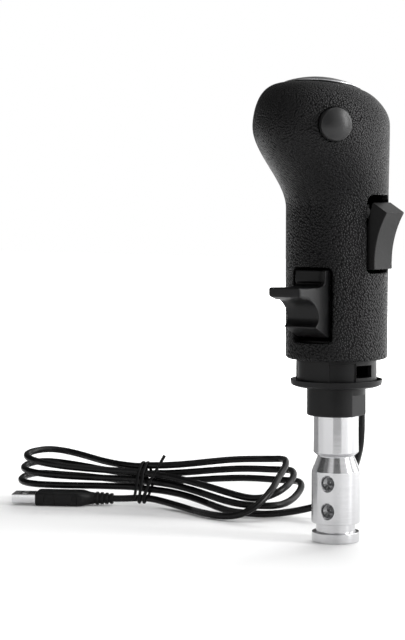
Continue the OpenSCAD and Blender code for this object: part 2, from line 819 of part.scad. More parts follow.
// Side outline of the rocker about its pivot: out to the right
function rocker_side() =
    let (half = rocker_l / 2, sag = rocker_hollow, r = (half * half + sag * sag) / (2 * sag),
         a = asin(half / r))
    concat([[rocker_in, half + rocker_flare], [rocker_in, -half - rocker_flare]],
           arc([rocker_reach - sag + r, 0], r, 180 + a, 180 - a, 12));

// Splitter rocker with a hollow face, at rest with its top out
module rocker() {
    hub_w = rocker_w - 2.8;
    color(dark_grey) rocker_frame(rocker_tilt) difference() {
        union() {
            rotate([90, 0, 0]) translate([0, 0, -rocker_w / 2]) linear_extrude(rocker_w) polygon(rocker_side());
            rotate([90, 0, 0]) cylinder(r = hub_r, h = hub_w, center = true);
            translate([0, -hub_w / 2, -3]) cube([rocker_in + 0.5, hub_w, 6]);
        }
        rotate([90, 0, 0]) cylinder(r = pin_r + run_gap, h = 2 * rocker_w, center = true);
    }
}

module rocker_pin() {
    length = rocker_w - 2.8 + 2 * (ear_gap + ear_t);
    color(steel) rocker_frame(0) rotate([90, 0, 0]) cylinder(r = pin_r, h = length, center = true);
}

// Bracket on the spine's edge that holds the rocker's pin and its two switches
module rocker_cradle() {
    ear_y = rocker_w / 2 - 1.4 + ear_gap;
    half = ear_y + ear_t;
    plate_h = 26;
    color(dark_grey) difference() {
        union() {
            translate([rocker_plate - plate_t, -half, z_rocker - plate_h / 2])
                cube([plate_t, 2 * half, plate_h]);
            for (y = [-half, ear_y]) {
                translate([rocker_plate - 0.5, y, z_rocker - ear_r])
                    cube([rocker_x - rocker_plate + 0.5, ear_t, 2 * ear_r]);
                translate([rocker_x, y + ear_t, z_rocker]) rotate([90, 0, 0]) cylinder(r = ear_r, h = ear_t);
            }
        }
        rocker_frame(0) rotate([90, 0, 0]) cylinder(r = pin_r + 0.02, h = 3 * half, center = true);
        cradle_screw_places() translate([0, 0, -1]) cylinder(r = screw_hole, h = plate_t + 2);
    }
}

// Two tact switches behind the rocker's ends
module rocker_switches() {
    reach = rocker_x + rocker_in * cos(rocker_tilt) - press_z * tan(rocker_tilt) - 0.4;
    cap_l = 1.3;
    color(black) for (z = [-1, 1]) translate([rocker_plate, 0, z_rocker + z * press_z]) rotate([0, 90, 0]) {
        translate([-tact_w / 2, -tact_w / 2, 0]) cube([tact_w, tact_w, reach - rocker_plate - cap_l]);
        cylinder(r = 1.6, h = reach - rocker_plate);
    }
}

// Screws that hold the two cradles on the spine
module cradle_screws() {
    color(steel) cradle_screw_places() {
        cylinder(r = screw_r, h = plate_t + 2.4);
        translate([0, 0, -screw_head_h]) cylinder(r = screw_head_r - 0.1, h = screw_head_h);
    }
}

// Domed push button with a flange that keeps it in the grip
module thumb_button() {
    rim = 0.7;
    rise = button_dome;
    r = button_r - rim;
    dome_r = (r * r + rise * rise) / (2 * rise);
    half = asin(r / dome_r);
    color(dark_grey) button_frame() rotate_extrude() polygon(concat(
        [[0, button_back], [flange_r, button_back], [flange_r, flange_top], [button_r, flange_top],
         [button_r, button_out - rim]],
        arc([button_r - rim, button_out - rim], rim, 0, 90, 4),
        arc([0, button_out + rise - dome_r], dome_r, 90 - half, 90, 8)
    ));
}

module button_spring() {
    height = button_back - button_board_top - 2 * spring_wire - 0.1;
    color(steel) button_frame() translate([0, 0, button_board_top + spring_wire + 0.05])
        tube(coil(spring_r, height, 4, 10), spring_wire, 6);
}

// Cup behind the button that holds its board
module button_cup() {
    outer = cup_in + cup_wall;
    color(dark_grey) button_frame() rotate_extrude() polygon([
        [0, cup_floor - cup_floor_t], [outer, cup_floor - cup_floor_t], [outer, boss_end + cup_lap],
        [cup_in, boss_end + cup_lap], [cup_in, cup_floor], [0, cup_floor]
    ]);
}

module button_board() {
    color([0.05, 0.3, 0.16]) button_frame() translate([0, 0, cup_floor]) cylinder(r = cup_in - 0.2, h = board_t);
}

module button_switch() {
    color(black) button_frame() translate([0, 0, button_board_top]) {
        translate([-tact_w / 2, -tact_w / 2, 0]) cube([tact_w, tact_w, tact_h - 0.7]);
        cylinder(r = 1.6, h = tact_h);
    }
}

// Wires from the switches to the main board
module switch_wires() {
    out = [sin(button_turn), -cos(button_turn), 0];
    from_button = [button_x, button_y, z_head] + out * (cup_floor - cup_floor_t - wire_gap);
    board_top = board_z + board_h;
    z_switch = z_lever - 8;
    side = rocker_plate + 1;
    back = rocker_plate - plate_t - wire_gap;
    end = board_y - wire_gap;
    color("red") {
        tube(curve([from_button, from_button - out * 2.5, [4, -10, z_head - 7], [3, 0, z_spine + spine_h + 8],
            [3, 7, z_spine + spine_h + 5], [3, board_y + 0.8, board_top + 12],
            [3, board_y + 0.8, board_top + 4], [3, board_y + 0.8, board_top + wire_gap]], 2),
            wire_r, 6, -out, [0, 0, -1]);
        tube(curve([[back, -4, z_rocker - 5], [back - 2, -4, z_rocker - 5], [back - 2.5, -3.5, z_rocker - 12],
            [side - 1.5, 0, z_rocker - 17], [side, 5, z_rocker - 20], [side, end - 2, z_rocker - 21],
            [side, end, z_rocker - 21]], 2), wire_r, 6, [-1, 0, 0], [0, 1, 0]);
        tube(curve([[switch_w / 2 + wire_gap, -5, z_switch], [5, -5, z_switch], [8.5, -2.5, z_switch],
            [side, 2.5, z_switch + 1], [side, end - 2, z_switch + 2], [side, end, z_switch + 2]], 2),
            wire_r, 6, [1, 0, 0], [0, 1, 0]);
    }
}

// Stretch of cable from the collar's notch up to the board
module usb_cable_inner() {
    color(black) translate([cable_x, cable_y, z_collar]) cylinder(r = cable_r, h = board_z - 0.5 - z_collar);
}

// One point of the hank after t turns. The strands run along u, open out across v and rise in z:
// front strands open towards the viewer, back strands away, each turn stacks on the last one, and the
// left lobe rises to its end.
function hank_point(t) =
    let (c = cos(360 * t), s = sin(360 * t), left = c > 0 ? 0 : 1, side = 2 * left + (s > 0 ? 0 : 1),
         lobe = c * c, bulge = pow(s * lobe / 0.385, 2),
         u = hank_long[left] * (1 - hank_shrink * (t - loops / 2)) * c,
         drop = mix(hank_end_drop[left], hank_drop[side], bulge),
         open = s * (hank_waist + hank_open[side] * lobe),
         lean = hank_lean + hank_turn[side] * bulge,
         stack = hank_pitch * (t - loops / 2) * (1 + hank_fan[left] * lobe),
         v = stack * cos(lean) - open * cos(drop),
         z = stack * sin(lean) - open * sin(drop) + hank_z + left * hank_rise * lobe,
         bend_r = hank_long[1] / (hank_bend * PI / 180),
         a = min(u / bend_r, 0) * 180 / PI,
         along = (u < 0 ? bend_r * sin(a) : u) - v * sin(a),
         across = bend_r * (1 - cos(a)) + v * cos(a))
    [hank_x + along * cos(hank_yaw) - across * sin(hank_yaw),
     hank_y + along * sin(hank_yaw) + across * cos(hank_yaw), z];

hank_rings = round((loops - hank_start) * loop_rings);
hank_turns = [for (i = [0:hank_rings]) mix(hank_start, loops, i / hank_rings)];
hank_loops = [for (t = hank_turns) hank_point(t)];
hank_first = unit(hank_point(hank_start + 0.001) - hank_point(hank_start));
hank_last = unit(hank_point(loops) - hank_point(loops - 0.001));
end_run = 2 * cable_r;
hank_in = hank_loops[0] - end_run * hank_first;
hank_out = hank_loops[hank_rings] + end_run * hank_last;
hank_path = concat([hank_in], hank_loops, [hank_out]);

// Least gap between strands of the hank that are half a turn or more apart
hank_gap = min([for (i = [0:hank_rings]) for (k = [i + loop_rings / 2:1:hank_rings])
    norm(hank_loops[i] - hank_loops[k])]) - 2 * cable_r;
echo(hank_gap = hank_gap);  // usb_cable_hank

module usb_cable_lead() {
    top = [cable_x, cable_y, z_collar];
    drop = [0, 0, -3.8];
    path = curve(concat([top, top + drop, top + 2 * drop], lead_points, [hank_in]), 2);
    color(black) tube(path, cable_r, tube_sides, [0, 0, -1], hank_first);
}

module usb_cable_hank() {
    color(black) tube(hank_path, cable_r, loop_sides, hank_first, hank_last);
}

module usb_cable_tail() {
    path = curve(concat([hank_out], tail_points, [plug_start - plug_straight * plug_axis, plug_start]), 2);
    color(black) tube(path, cable_r, tube_sides, hank_last, plug_axis);
}

// Strands at the hank's waist, as distances across it and heights
hank_strands = [for (i = [0:2 * loops - 1]) let (p = hank_point(0.25 + i / 2) - [hank_x, hank_y, 0])
    [p[1] * cos(hank_yaw) - p[0] * sin(hank_yaw), p[2]]];

// Point of a taut band round the strands, in the direction a, at a place along the waist
function band(a, along) =
    let (n = [cos(a), sin(a)], strands = concat(hank_strands, [tail_waist + [tail_drift * along, 0]]),
         reach = [for (p = strands) p * n],
         far = [for (i = [0:len(reach) - 1]) if (reach[i] == max(reach)) strands[i]])
    far[0] + (cable_r + tie_r + tie_gap) * n;

function at_waist(along, p) = [
    hank_x + along * cos(hank_yaw) - p[0] * sin(hank_yaw),
    hank_y + along * sin(hank_yaw) + p[0] * cos(hank_yaw), p[1]
];

// Twist tie: two turns round the waist and a tail that stands up at the front
module cable_tie() {
    turns = 2;
    steps = 20;
    pitch = 2.4;
    first = 200;
    wraps = [for (i = [0:turns * steps]) let (along = pitch * (i / steps - 1))
        at_waist(along, band(first - 360 * i / steps, along))];
    end = band(first, pitch);
    tail = [at_waist(pitch + 1.6, end + [-0.8, 5]), at_waist(pitch + 4, end + [0.6, 11]),
        at_waist(pitch + 7, end + [2.2, 17]), at_waist(pitch + 10, end + [3.5, 22.8])];
    color(black) tube(concat(wraps, tail), tie_r, 6);
}

// The plug's frame: +X from the cable to the tip
module plug_frame() {
    translate(plug_start) rotate([0, 0, plug_yaw]) children();
}

// Moulded plug body with a ribbed, tapered relief
module usb_plug_boot() {
    ribs = 4;
    rib_step = relief_l / (ribs + 0.5);
    wide = min(plug_h / 2 - 0.3, 3);
    narrow = cable_r + 0.5;
    groove = 0.5;
    profile = [for (i = [0:ribs - 1]) let (x = i * rib_step, r = mix(narrow, wide, i / ribs))
        each [[r + groove, x], [r + groove, x + 0.6 * rib_step], [r, x + 0.6 * rib_step], [r, x + rib_step]]];
    color(black) plug_frame() {
        rotate([0, 90, 0]) rotate_extrude()
            polygon(concat([[0, 0]], profile, [[wide, ribs * rib_step], [wide, relief_l + 0.5], [0, relief_l + 0.5]]));
        translate([relief_l, 0, 0]) rotate([90, 0, 90]) linear_extrude(plug_l) round_rect(plug_w, plug_h, 1.8);
    }
}

module usb_plug_shell() {
    color("silver") plug_frame() translate([relief_l + plug_l, 0, 0]) difference() {
        translate([0, -shell_w / 2, -shell_h / 2]) cube([plug_shell_l, shell_w, shell_h]);
        translate([-1, -shell_w / 2 + shell_wall, -shell_h / 2 + shell_wall])
            cube([plug_shell_l + 2, shell_w - 2 * shell_wall, shell_h - 2 * shell_wall]);
    }
}

module usb_plug_tongue() {
    tongue_h = 1.9;
    color("white") plug_frame()
        translate([relief_l + plug_l, -shell_w / 2 + shell_wall + 0.05, shell_h / 2 - shell_wall - 0.05 - tongue_h])
            cube([plug_shell_l - 0.6, shell_w - 2 * shell_wall - 0.1, tongue_h]);
}

// Four contacts on the tongue
module usb_contacts() {
    contact_w = 1;
    contact_t = 0.15;
    pitch = 2.3;
    color("gold") plug_frame()
        for (i = [-1.5:1:1.5])
            translate([relief_l + plug_l + 1, i * pitch - contact_w / 2, shell_h / 2 - shell_wall - 1.95 - contact_t])
                cube([plug_shell_l - 3, contact_w, contact_t]);
}

shank();
grub_screws();
lock_collar();
gaiter_ring();
core_sleeve();
shank_washer();
shank_nut();
cable_clamp();
core_frame();
main_board();
controller_chip();
board_parts();
board_screws();
grip_shell_left();
grip_shell_right();
cap_ring();
cap_plate();
range_lever();
lever_pin();
lever_cradle();
detent_ball();
detent_spring();
range_switch();
rocker();
rocker_pin();
rocker_cradle();
rocker_switches();
cradle_screws();
thumb_button();
button_spring();
button_cup();
button_board();
button_switch();
switch_wires();
usb_cable_inner();
usb_cable_lead();
usb_cable_hank();
usb_cable_tail();
cable_tie();
usb_plug_boot();
usb_plug_shell();
usb_plug_tongue();
usb_contacts();
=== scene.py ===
"""Looks of a truck style gear shift knob with its USB lead, in the frame of its solids."""

import math

import bmesh
import bpy
import numpy as np
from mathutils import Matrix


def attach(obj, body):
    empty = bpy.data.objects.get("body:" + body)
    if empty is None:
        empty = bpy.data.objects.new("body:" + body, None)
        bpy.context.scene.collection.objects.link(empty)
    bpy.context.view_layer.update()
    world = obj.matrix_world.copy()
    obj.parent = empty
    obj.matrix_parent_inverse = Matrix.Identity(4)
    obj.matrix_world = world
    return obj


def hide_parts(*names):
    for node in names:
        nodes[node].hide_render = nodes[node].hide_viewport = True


# Frame
# The solids come in first and stay where they are. Every piece below is drawn in their frame, in
# millimetres until it becomes a mesh.
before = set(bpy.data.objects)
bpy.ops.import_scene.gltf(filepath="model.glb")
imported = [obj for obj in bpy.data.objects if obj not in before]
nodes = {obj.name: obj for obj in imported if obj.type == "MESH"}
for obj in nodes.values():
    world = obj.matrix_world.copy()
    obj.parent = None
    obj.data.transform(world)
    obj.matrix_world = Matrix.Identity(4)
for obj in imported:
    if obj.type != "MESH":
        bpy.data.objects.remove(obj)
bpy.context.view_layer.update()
scene = bpy.context.scene
scene.view_settings.view_transform = "Standard"
MM = 0.001

# Camera
# It stands to the front left of the knob, level with the head and turned down a little, with a long
# lens, as for a catalogue picture.
lens = bpy.data.cameras.new("camera")
lens.sensor_fit = "VERTICAL"
lens.sensor_height = 36
lens.lens = 106.9
viewer = bpy.data.objects.new("camera", lens)
viewer.location = (0.4409, -0.7351, 0.1587)
viewer.rotation_euler = (math.radians(86.1), 0, math.radians(35))
scene.collection.objects.link(viewer)
scene.camera = viewer

# USB cable
# A thin round lead in soft black plastic, one length. It leaves the notch at the back of the collar,
# comes down to the table, is folded in three loops that a tie holds, and ends in its plug.
cable_r, cable_step, cable_soften = 1.7, 1.3, 1.6
cable_top = np.array([6.944, 10.693, 57.6])
waist = np.array([-132.0, 33.0])
hank_turns, hank_height, strand_pitch, waist_spread, waist_lean = 3, 13.4, 4.35, 2.4, 108
lobe_peak, turn_shrink, left_rise = 0.385, 0.045, 3
# Pairs are for the right and the left lobe, fours for the front and the back of each.
lobe_length = np.array([79, 68])
lobe_stack = np.array([0.35, 0.6])
end_drop = np.array([20, 2])
side_drop = np.array([17, 9, 2, -2])
side_spread = np.array([54, 38, 34, 34])
side_lean = np.array([-78, -10, -10, -20])
left_bend_r = 68 / math.radians(16)
lead_points = [
    (6, 11.5, 43.5), (3, 14.5, 37), (-2, 19.5, 30.5), (-8, 26, 24), (-15, 33.5, 17.5),
    (-23, 40, 12), (-32, 43.5, 8), (-40.5, 43, 5), (-47.5, 39.5, 3.2), (-53.5, 34.5, 2.3),
    (-59.5, 30, 2),
]
tail_points = [
    (-57, 40.5, 18.5), (-55.5, 33, 14.5), (-56, 25.5, 10), (-58.5, 19, 6), (-64.5, 15, 3),
    (-73.5, 14, 2), (-83.5, 16, 2), (-94, 20, 2), (-99.7, 22.2, 2.2), (-105.5, 24, 2.5),
    (-117.5, 26.8, 3.3), (-127, 26.3, 4),
]
plug_start = np.array([-141.8, 18.5, 3.5])


def heading(angle):
    """The level directions at an angle from +X, in radians, and to the left of that."""
    c, s = math.cos(angle), math.sin(angle)
    return np.array([c, s, 0]), np.array([-s, c, 0])


up_axis = np.array([0, 0, 1])
plug_axes = np.array([*heading(math.radians(208.3)), up_axis])
hank_along, hank_across = (way[:2] for way in heading(math.radians(17)))


def at_waist(along, across, z):
    """Points beside the hank's waist: distances along it and across it, and heights."""
    xy = waist + along[:, None] * hank_along + across[:, None] * hank_across
    return np.column_stack([xy, z])


def hank(t):
    """Points of the hank after t turns. The strands run along it as a cosine and open out across it
    as a sine that is widest in the lobes. Each turn stacks on the last. The left lobe bends back and
    rises to its end."""
    c = np.cos(2 * np.pi * t)
    s = np.sin(2 * np.pi * t)
    left = np.where(c > 0, 0, 1)
    side = 2 * left + np.where(s > 0, 0, 1)
    lobe = c * c
    bulge = (s * lobe / lobe_peak) ** 2
    count = t - hank_turns / 2
    u = lobe_length[left] * (1 - turn_shrink * count) * c
    drop = np.radians(end_drop[left] + (side_drop[side] - end_drop[left]) * bulge)
    spread = s * (waist_spread + side_spread[side] * lobe)
    lean = np.radians(waist_lean + side_lean[side] * bulge)
    stack = strand_pitch * count * (1 + lobe_stack[left] * lobe)
    v = stack * np.cos(lean) - spread * np.cos(drop)
    z = stack * np.sin(lean) - spread * np.sin(drop) + hank_height + left_rise * left * lobe
    a = np.minimum(u / left_bend_r, 0)
    along = np.where(u < 0, left_bend_r * np.sin(a), u) - v * np.sin(a)
    across = left_bend_r * (1 - np.cos(a)) + v * np.cos(a)
    return at_waist(along, across, z)


def through(points, steps):
    """A curve through every point: on each span a cubic whose slope at a point is half the way from
    the point before it to the point after it."""
    p = np.asarray(points, float)
    p = np.vstack([2 * p[0] - p[1], p, 2 * p[-1] - p[-2]])
    t = np.linspace(0, 1, steps, endpoint=False)[None, :, None]
    a, b, c, d = (p[i:len(p) - 3 + i, None] for i in range(4))
    spans = b + 0.5 * ((c - a) * t + (2 * a - 5 * b + 4 * c - d) * t**2 + (3 * b - a - 3 * c + d) * t**3)
    return np.vstack([spans.reshape(-1, p.shape[1]), p[-2:-1]])


def spaced(line, count, endpoint=True):
    """So many points at equal steps along a line of corners."""
    far = np.r_[0, np.cumsum(np.linalg.norm(np.diff(line, axis=0), axis=1))]
    at = np.linspace(0, far[-1], count, endpoint=endpoint)
    return np.stack([np.interp(at, far, k) for k in line.T], 1)


def averaged(line, closed, step, soften):
    """Each point averaged with its neighbours by a bell curve. A closed line goes on round, and an open
    one is continued past its ends by its own mirror image, so that they stay."""
    reach = math.ceil(3 * soften / step)
    bell = np.exp(-0.5 * (np.arange(-reach, reach + 1) * step / soften) ** 2)
    before = line[-reach:] if closed else 2 * line[0] - line[reach:0:-1]
    after = line[:reach] if closed else 2 * line[-1] - line[-2:-reach - 2:-1]
    longer = np.vstack([before, line, after])
    return np.stack([np.convolve(k, bell / bell.sum(), "valid") for k in longer.T], 1)


def evened(line, step, soften):
    """The same line with its points at equal steps, and then averaged."""
    long = np.linalg.norm(np.diff(line, axis=0), axis=1).sum()
    return averaged(spaced(line, round(long / step) + 1), False, step, soften)


def unit(v):
    """Vectors brought to length 1."""
    return v / np.maximum(np.linalg.norm(v, axis=-1, keepdims=True), 1e-12)


def carried(profile, route, facing):
    """A flat profile carried along a route. Each ring is the profile drawn square to the route, with
    its first axis turned as far as it goes towards the facing direction."""
    ahead = unit(np.gradient(route, axis=0))
    first = unit(facing - (ahead @ facing)[:, None] * ahead)
    second = np.cross(ahead, first)
    return route[:, None] + profile[..., :1] * first[:, None] + profile[..., 1:] * second[:, None]


def grid_faces(rows, cols, round_rows=False, round_cols=False):
    """Four sided faces between neighbouring rows and columns of a grid of points."""
    here = np.arange(rows * cols).reshape(rows, cols)
    after = np.roll(here, -1, 1)
    corners = np.stack([here, after, np.roll(after, -1, 0), np.roll(here, -1, 0)], -1)
    return corners[:rows - 1 + round_rows, :cols - 1 + round_cols].reshape(-1, 4)


def end_faces(rows, cols, first=0):
    """One flat face over the first ring of a grid of rings and one over the last."""
    last = first + (rows - 1) * cols
    return [list(range(first, first + cols))[::-1], list(range(last, last + cols))]


def compass(angle):
    """Points of the unit circle at angles."""
    return np.stack([np.cos(angle), np.sin(angle)], -1)


def make_piece(name, points, faces, caps=(), uv=None, sharp=40, weld=False):
    """A mesh from points in millimetres, with smooth shading up to the sharp angle. If its volume
    comes out negative all its faces are turned round, so that they point outwards."""
    mesh = bpy.data.meshes.new(name)
    points = np.asarray(points, float).reshape(-1, 3) * MM
    mesh.from_pydata(points.tolist(), [], faces.tolist() + list(caps))
    solid = bmesh.new()
    solid.from_mesh(mesh)
    if weld:
        bmesh.ops.remove_doubles(solid, verts=solid.verts, dist=2e-6)
    inside_out = solid.calc_volume(signed=True) < 0
    solid.to_mesh(mesh)
    solid.free()
    if uv is not None:
        corners = np.empty(len(mesh.loops), np.int32)
        mesh.loops.foreach_get("vertex_index", corners)
        layer = mesh.uv_layers.new(name="skin")
        layer.data.foreach_set("uv", np.asarray(uv, np.float32)[corners].ravel())
    if inside_out:
        mesh.flip_normals()
    mesh.polygons.foreach_set("use_smooth", np.ones(len(mesh.polygons), bool))
    mesh.set_sharp_from_angle(angle=math.radians(sharp))
    piece = bpy.data.objects.new(name, mesh)
    scene.collection.objects.link(piece)
    return piece


def ring_piece(name, *grids, closed=(), **shading):
    """One piece from grids of rings. A grid gets flat ends, unless its number is in closed: then its
    last ring joins its first."""
    faces = []
    caps = []
    first = 0
    for i, grid in enumerate(grids):
        rows, cols = grid.shape[:2]
        faces.append(first + grid_faces(rows, cols, i in closed, True))
        if i not in closed:
            caps += end_faces(rows, cols, first)
        first += rows * cols
    points = np.vstack([grid.reshape(-1, 3) for grid in grids])
    return make_piece(name, points, np.vstack(faces), caps, **shading)


def dress(piece, finish, slot, *stands_for, body="body"):
    """Gives a piece its material and fixes it to the body it moves with. Its slot is not used."""
    piece.data.materials.append(finish)
    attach(piece, body)
    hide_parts(*stands_for)


def feed(tree, socket, value):
    """Gives a socket a plain value, or another node's output."""
    if isinstance(value, bpy.types.NodeSocket):
        tree.links.new(value, socket)
    else:
        socket.default_value = value


def add(tree, kind, inputs=None, **settings):
    """A shader node with its settings, and its inputs by name or number."""
    node = tree.nodes.new(kind)
    for key, value in settings.items():
        setattr(node, key, value)
    for key, value in (inputs or {}).items():
        feed(tree, node.inputs[key], value)
    return node


def calc(tree, kind, *values):
    """The result of a Math node."""
    return add(tree, "ShaderNodeMath", dict(enumerate(values)), operation=kind).outputs[0]


def noise_of(tree, place, scale, detail):
    """A soft noise at so many features to the metre, or to one step of the given place."""
    inputs = {"Vector": place, "Scale": scale, "Detail": detail}
    return add(tree, "ShaderNodeTexNoise", inputs).outputs[0]


def surface_effect(name, pattern):
    """A node group that several finishes share. Its inputs are the scale of a pattern, a roughness and
    how far that spreads with the pattern's swing. It puts out a height, a roughness and a shade."""
    group = bpy.data.node_groups.new(name, "ShaderNodeTree")
    for label in ("Scale", "Roughness", "Spread"):
        group.interface.new_socket(label, in_out="INPUT", socket_type="NodeSocketFloat")
    for label in ("Height", "Roughness", "Shade"):
        group.interface.new_socket(label, in_out="OUTPUT", socket_type="NodeSocketFloat")
    given = group.nodes.new("NodeGroupInput").outputs
    made = group.nodes.new("NodeGroupOutput").inputs
    place = add(group, "ShaderNodeTexCoord").outputs["Object"]
    height, shade, swing = pattern(group, place, given["Scale"])
    feed(group, made["Height"], height)
    feed(group, made["Shade"], shade)
    feed(group, made["Roughness"], calc(group, "MULTIPLY_ADD", swing, given["Spread"], given["Roughness"]))
    return group


def moulded_pattern(group, place, scale):
    """A fine grain for the height, and slow clouds of handling for the shade and the gloss."""
    handling = noise_of(group, place, 90, 3)
    return noise_of(group, place, scale, 2), handling, calc(group, "MULTIPLY_ADD", handling, 4, -2)


moulded = surface_effect("moulded_surface", moulded_pattern)


def new_finish(name, colour, metal, specular):
    """A material with a Principled shader, and that shader's sockets with their plain values."""
    finish = bpy.data.materials.new(name)
    finish.use_nodes = True
    sockets = finish.node_tree.nodes["Principled BSDF"].inputs
    sockets["Base Color"].default_value = (*colour, 1)
    sockets["Metallic"].default_value = metal
    sockets["Specular IOR Level"].default_value = specular
    return finish, finish.node_tree, sockets


def shaded(tree, sockets, mask, dark, light):
    """Base colour that goes from dark to light with a mask."""
    ramp = add(tree, "ShaderNodeValToRGB", {"Fac": mask})
    for stop, position, colour in zip(ramp.color_ramp.elements, (0.35, 0.65), (dark, light)):
        stop.position = position
        stop.color = (*colour, 1)
    feed(tree, sockets["Base Color"], ramp.outputs["Color"])


def bumped(tree, sockets, height, depth):
    """Bump of a depth in millimetres on the shader's normal."""
    bump = add(tree, "ShaderNodeBump", {"Strength": 1, "Distance": depth * MM, "Height": height})
    feed(tree, sockets["Normal"], bump.outputs["Normal"])


def plastic(name, dark, light, roughness, spread, scale, depth, metal=0, specular=0.2, surface=moulded):
    """Moulded plastic or plain metal. The surface gives it a bump, of a depth in millimetres, its gloss
    and its shade from dark to light."""
    finish, tree, sockets = new_finish(name, dark, metal, specular)
    values = {"Scale": scale, "Roughness": roughness, "Spread": spread}
    made = add(tree, "ShaderNodeGroup", values, node_tree=surface).outputs
    feed(tree, sockets["Roughness"], made["Roughness"])
    shaded(tree, sockets, made["Shade"], dark, light)
    bumped(tree, sockets, made["Height"], depth)
    return finish


def onward(a, b):
    """The point a cable's width past b, coming from a."""
    return b + 2 * cable_r * unit(b - a)


loops = hank(np.linspace(0.13, hank_turns, 290))
drops = cable_top - np.array([[0, 0, 0], [0, 0, 3.8], [0, 0, 7.6]])
lead = through([*drops, *lead_points, onward(loops[1], loops[0])], 6)
plug_entry = plug_start - 4 * plug_axes[0]
tail = through([onward(loops[-2], loops[-1]), *tail_points, plug_entry, plug_start], 6)
cable_route = evened(np.vstack([lead, loops, tail]), cable_step, cable_soften)
around = np.linspace(0, 2 * np.pi, 14, endpoint=False)
cable_rings = carried(cable_r * compass(around), cable_route, np.array([0.43, 0.26, 0.86]))
usb_cable = ring_piece("usb_cable", cable_rings)
cable_finish = plastic("cable_plastic", (0.003, 0.003, 0.0033), (0.005, 0.005, 0.0053), 0.26, 0.04, 1800,
                       0.01)
dress(usb_cable, cable_finish, "cable_skin", "usb_cable_lead", "usb_cable_hank", "usb_cable_tail")

# Twist tie
# A flat plastic ribbon with a wire down its middle. It goes twice round the waist of the hank, is
# twisted up at the front and ends in a free end that stands up.
tie_pitch, tie_off, tie_start, tie_step, tie_soften = 2.4, 2.45, 200, 0.4, 0.55
twist_turns, twist_length, twist_before_end = 1.5, 11, 16
ribbon_half, ribbon_thick, wire_thick = 0.8, 0.24, 0.22
tail_across, tail_slope, tail_height = -8.35, 0.18, 3.95
free_end = np.array([[4, -0.8, 5], [6.4, 0.6, 11], [9.4, 2.2, 17], [12.4, 3.5, 22.8]])
strands = hank(0.25 + np.arange(2 * hank_turns) / 2)
strands = np.column_stack([(strands[:, :2] - waist) @ hank_across, strands[:, 2]])


def band(a, along):
    """A taut band round the strands and the cable's tail: in each direction the strand that reaches
    furthest, and from it straight out."""
    out = compass(a)
    tail_here = np.stack([tail_across + tail_slope * along, np.full(len(a), tail_height)], 1)
    held = np.concatenate([np.tile(strands, (len(a), 1, 1)), tail_here[:, None]], 1)
    furthest = np.einsum("akx,ax->ak", held, out).argmax(1)
    return held[np.arange(len(a)), furthest] + tie_off * out


turns = np.linspace(0, 2, 181)
along = tie_pitch * (turns - 1)
wraps = at_waist(along, *band(np.radians(tie_start - 360 * turns), along).T)
last = band(np.radians([tie_start]), np.array([tie_pitch]))
free = at_waist(free_end[:, 0], *(last + free_end[:, 1:]).T)
end_route = through(np.vstack([wraps[-1], free]), 8)[1:]
tie_route = evened(np.vstack([wraps, end_route]), tie_step, tie_soften)
far = tie_step * np.arange(len(tie_route))
twist = np.clip((far - (far[-1] - twist_before_end)) / twist_length, 0, 1)
twist = (2 * np.pi * twist_turns * twist)[:, None]
across = ribbon_half * np.cos(around)
thick = np.sin(around) * (ribbon_thick + wire_thick * np.sin(around) ** 2)
tie_profile = np.stack([np.cos(twist) * across - np.sin(twist) * thick,
                        np.sin(twist) * across + np.cos(twist) * thick], -1)
twist_tie = ring_piece("twist_tie", carried(tie_profile, tie_route, np.array([*hank_along, 0])))
soft_black = (0.004, 0.004, 0.0043), (0.007, 0.007, 0.0074)
dress(twist_tie, plastic("tie_plastic", *soft_black, 0.5, 0.05, 2600, 0.02), "tie_skin", "cable_tie")

# USB plug
# A black plastic boot moulded over a folded steel shell, with a ribbed relief on the cable. Inside the
# shell are a white tongue and four gilt contacts.


def ray_reach(angle, half_w, half_h, corner):
    """Distance from the middle of a rounded rectangle to its edge in a direction: to the corner's
    circle, or to a straight side where the ray meets that first."""
    across = np.maximum(np.abs(np.cos(angle)), 1e-9)
    up = np.maximum(np.abs(np.sin(angle)), 1e-9)
    w = half_w - corner
    h = half_h - corner
    reach = w * across + h * up + np.sqrt(np.maximum(corner**2 - (w * up - h * across) ** 2, 0))
    reach = np.where(half_w * up <= h * across, half_w / across, reach)
    return np.where(half_h * across <= w * up, half_h / up, reach)


def smooth(t):
    """Rises from 0 to 1 with level ends."""
    t = np.clip(t, 0, 1)
    return t * t * (3 - 2 * t)


def round_edge(past, r):
    """How far an edge of this radius draws in, at distances past the line where it starts."""
    return r - np.sqrt(r**2 - np.clip(past, 0, r) ** 2)


def ringed(radius, height, turn):
    """Points about the vertical axis, with a radius and a height for each turn."""
    return np.stack(np.broadcast_arrays(radius * np.cos(turn), radius * np.sin(turn), height), -1)


def bar_points(outlines, stations):
    """Flat outlines set side by side at their stations along the first axis."""
    at = np.broadcast_to(np.asarray(stations)[:, None, None], (*outlines.shape[:2], 1))
    return np.concatenate([at, outlines], 2)


def arc(centre, r, start, stop, n):
    """Points on an arc between two angles."""
    return np.array(centre) + r * compass(np.radians(np.linspace(start, stop, n)))


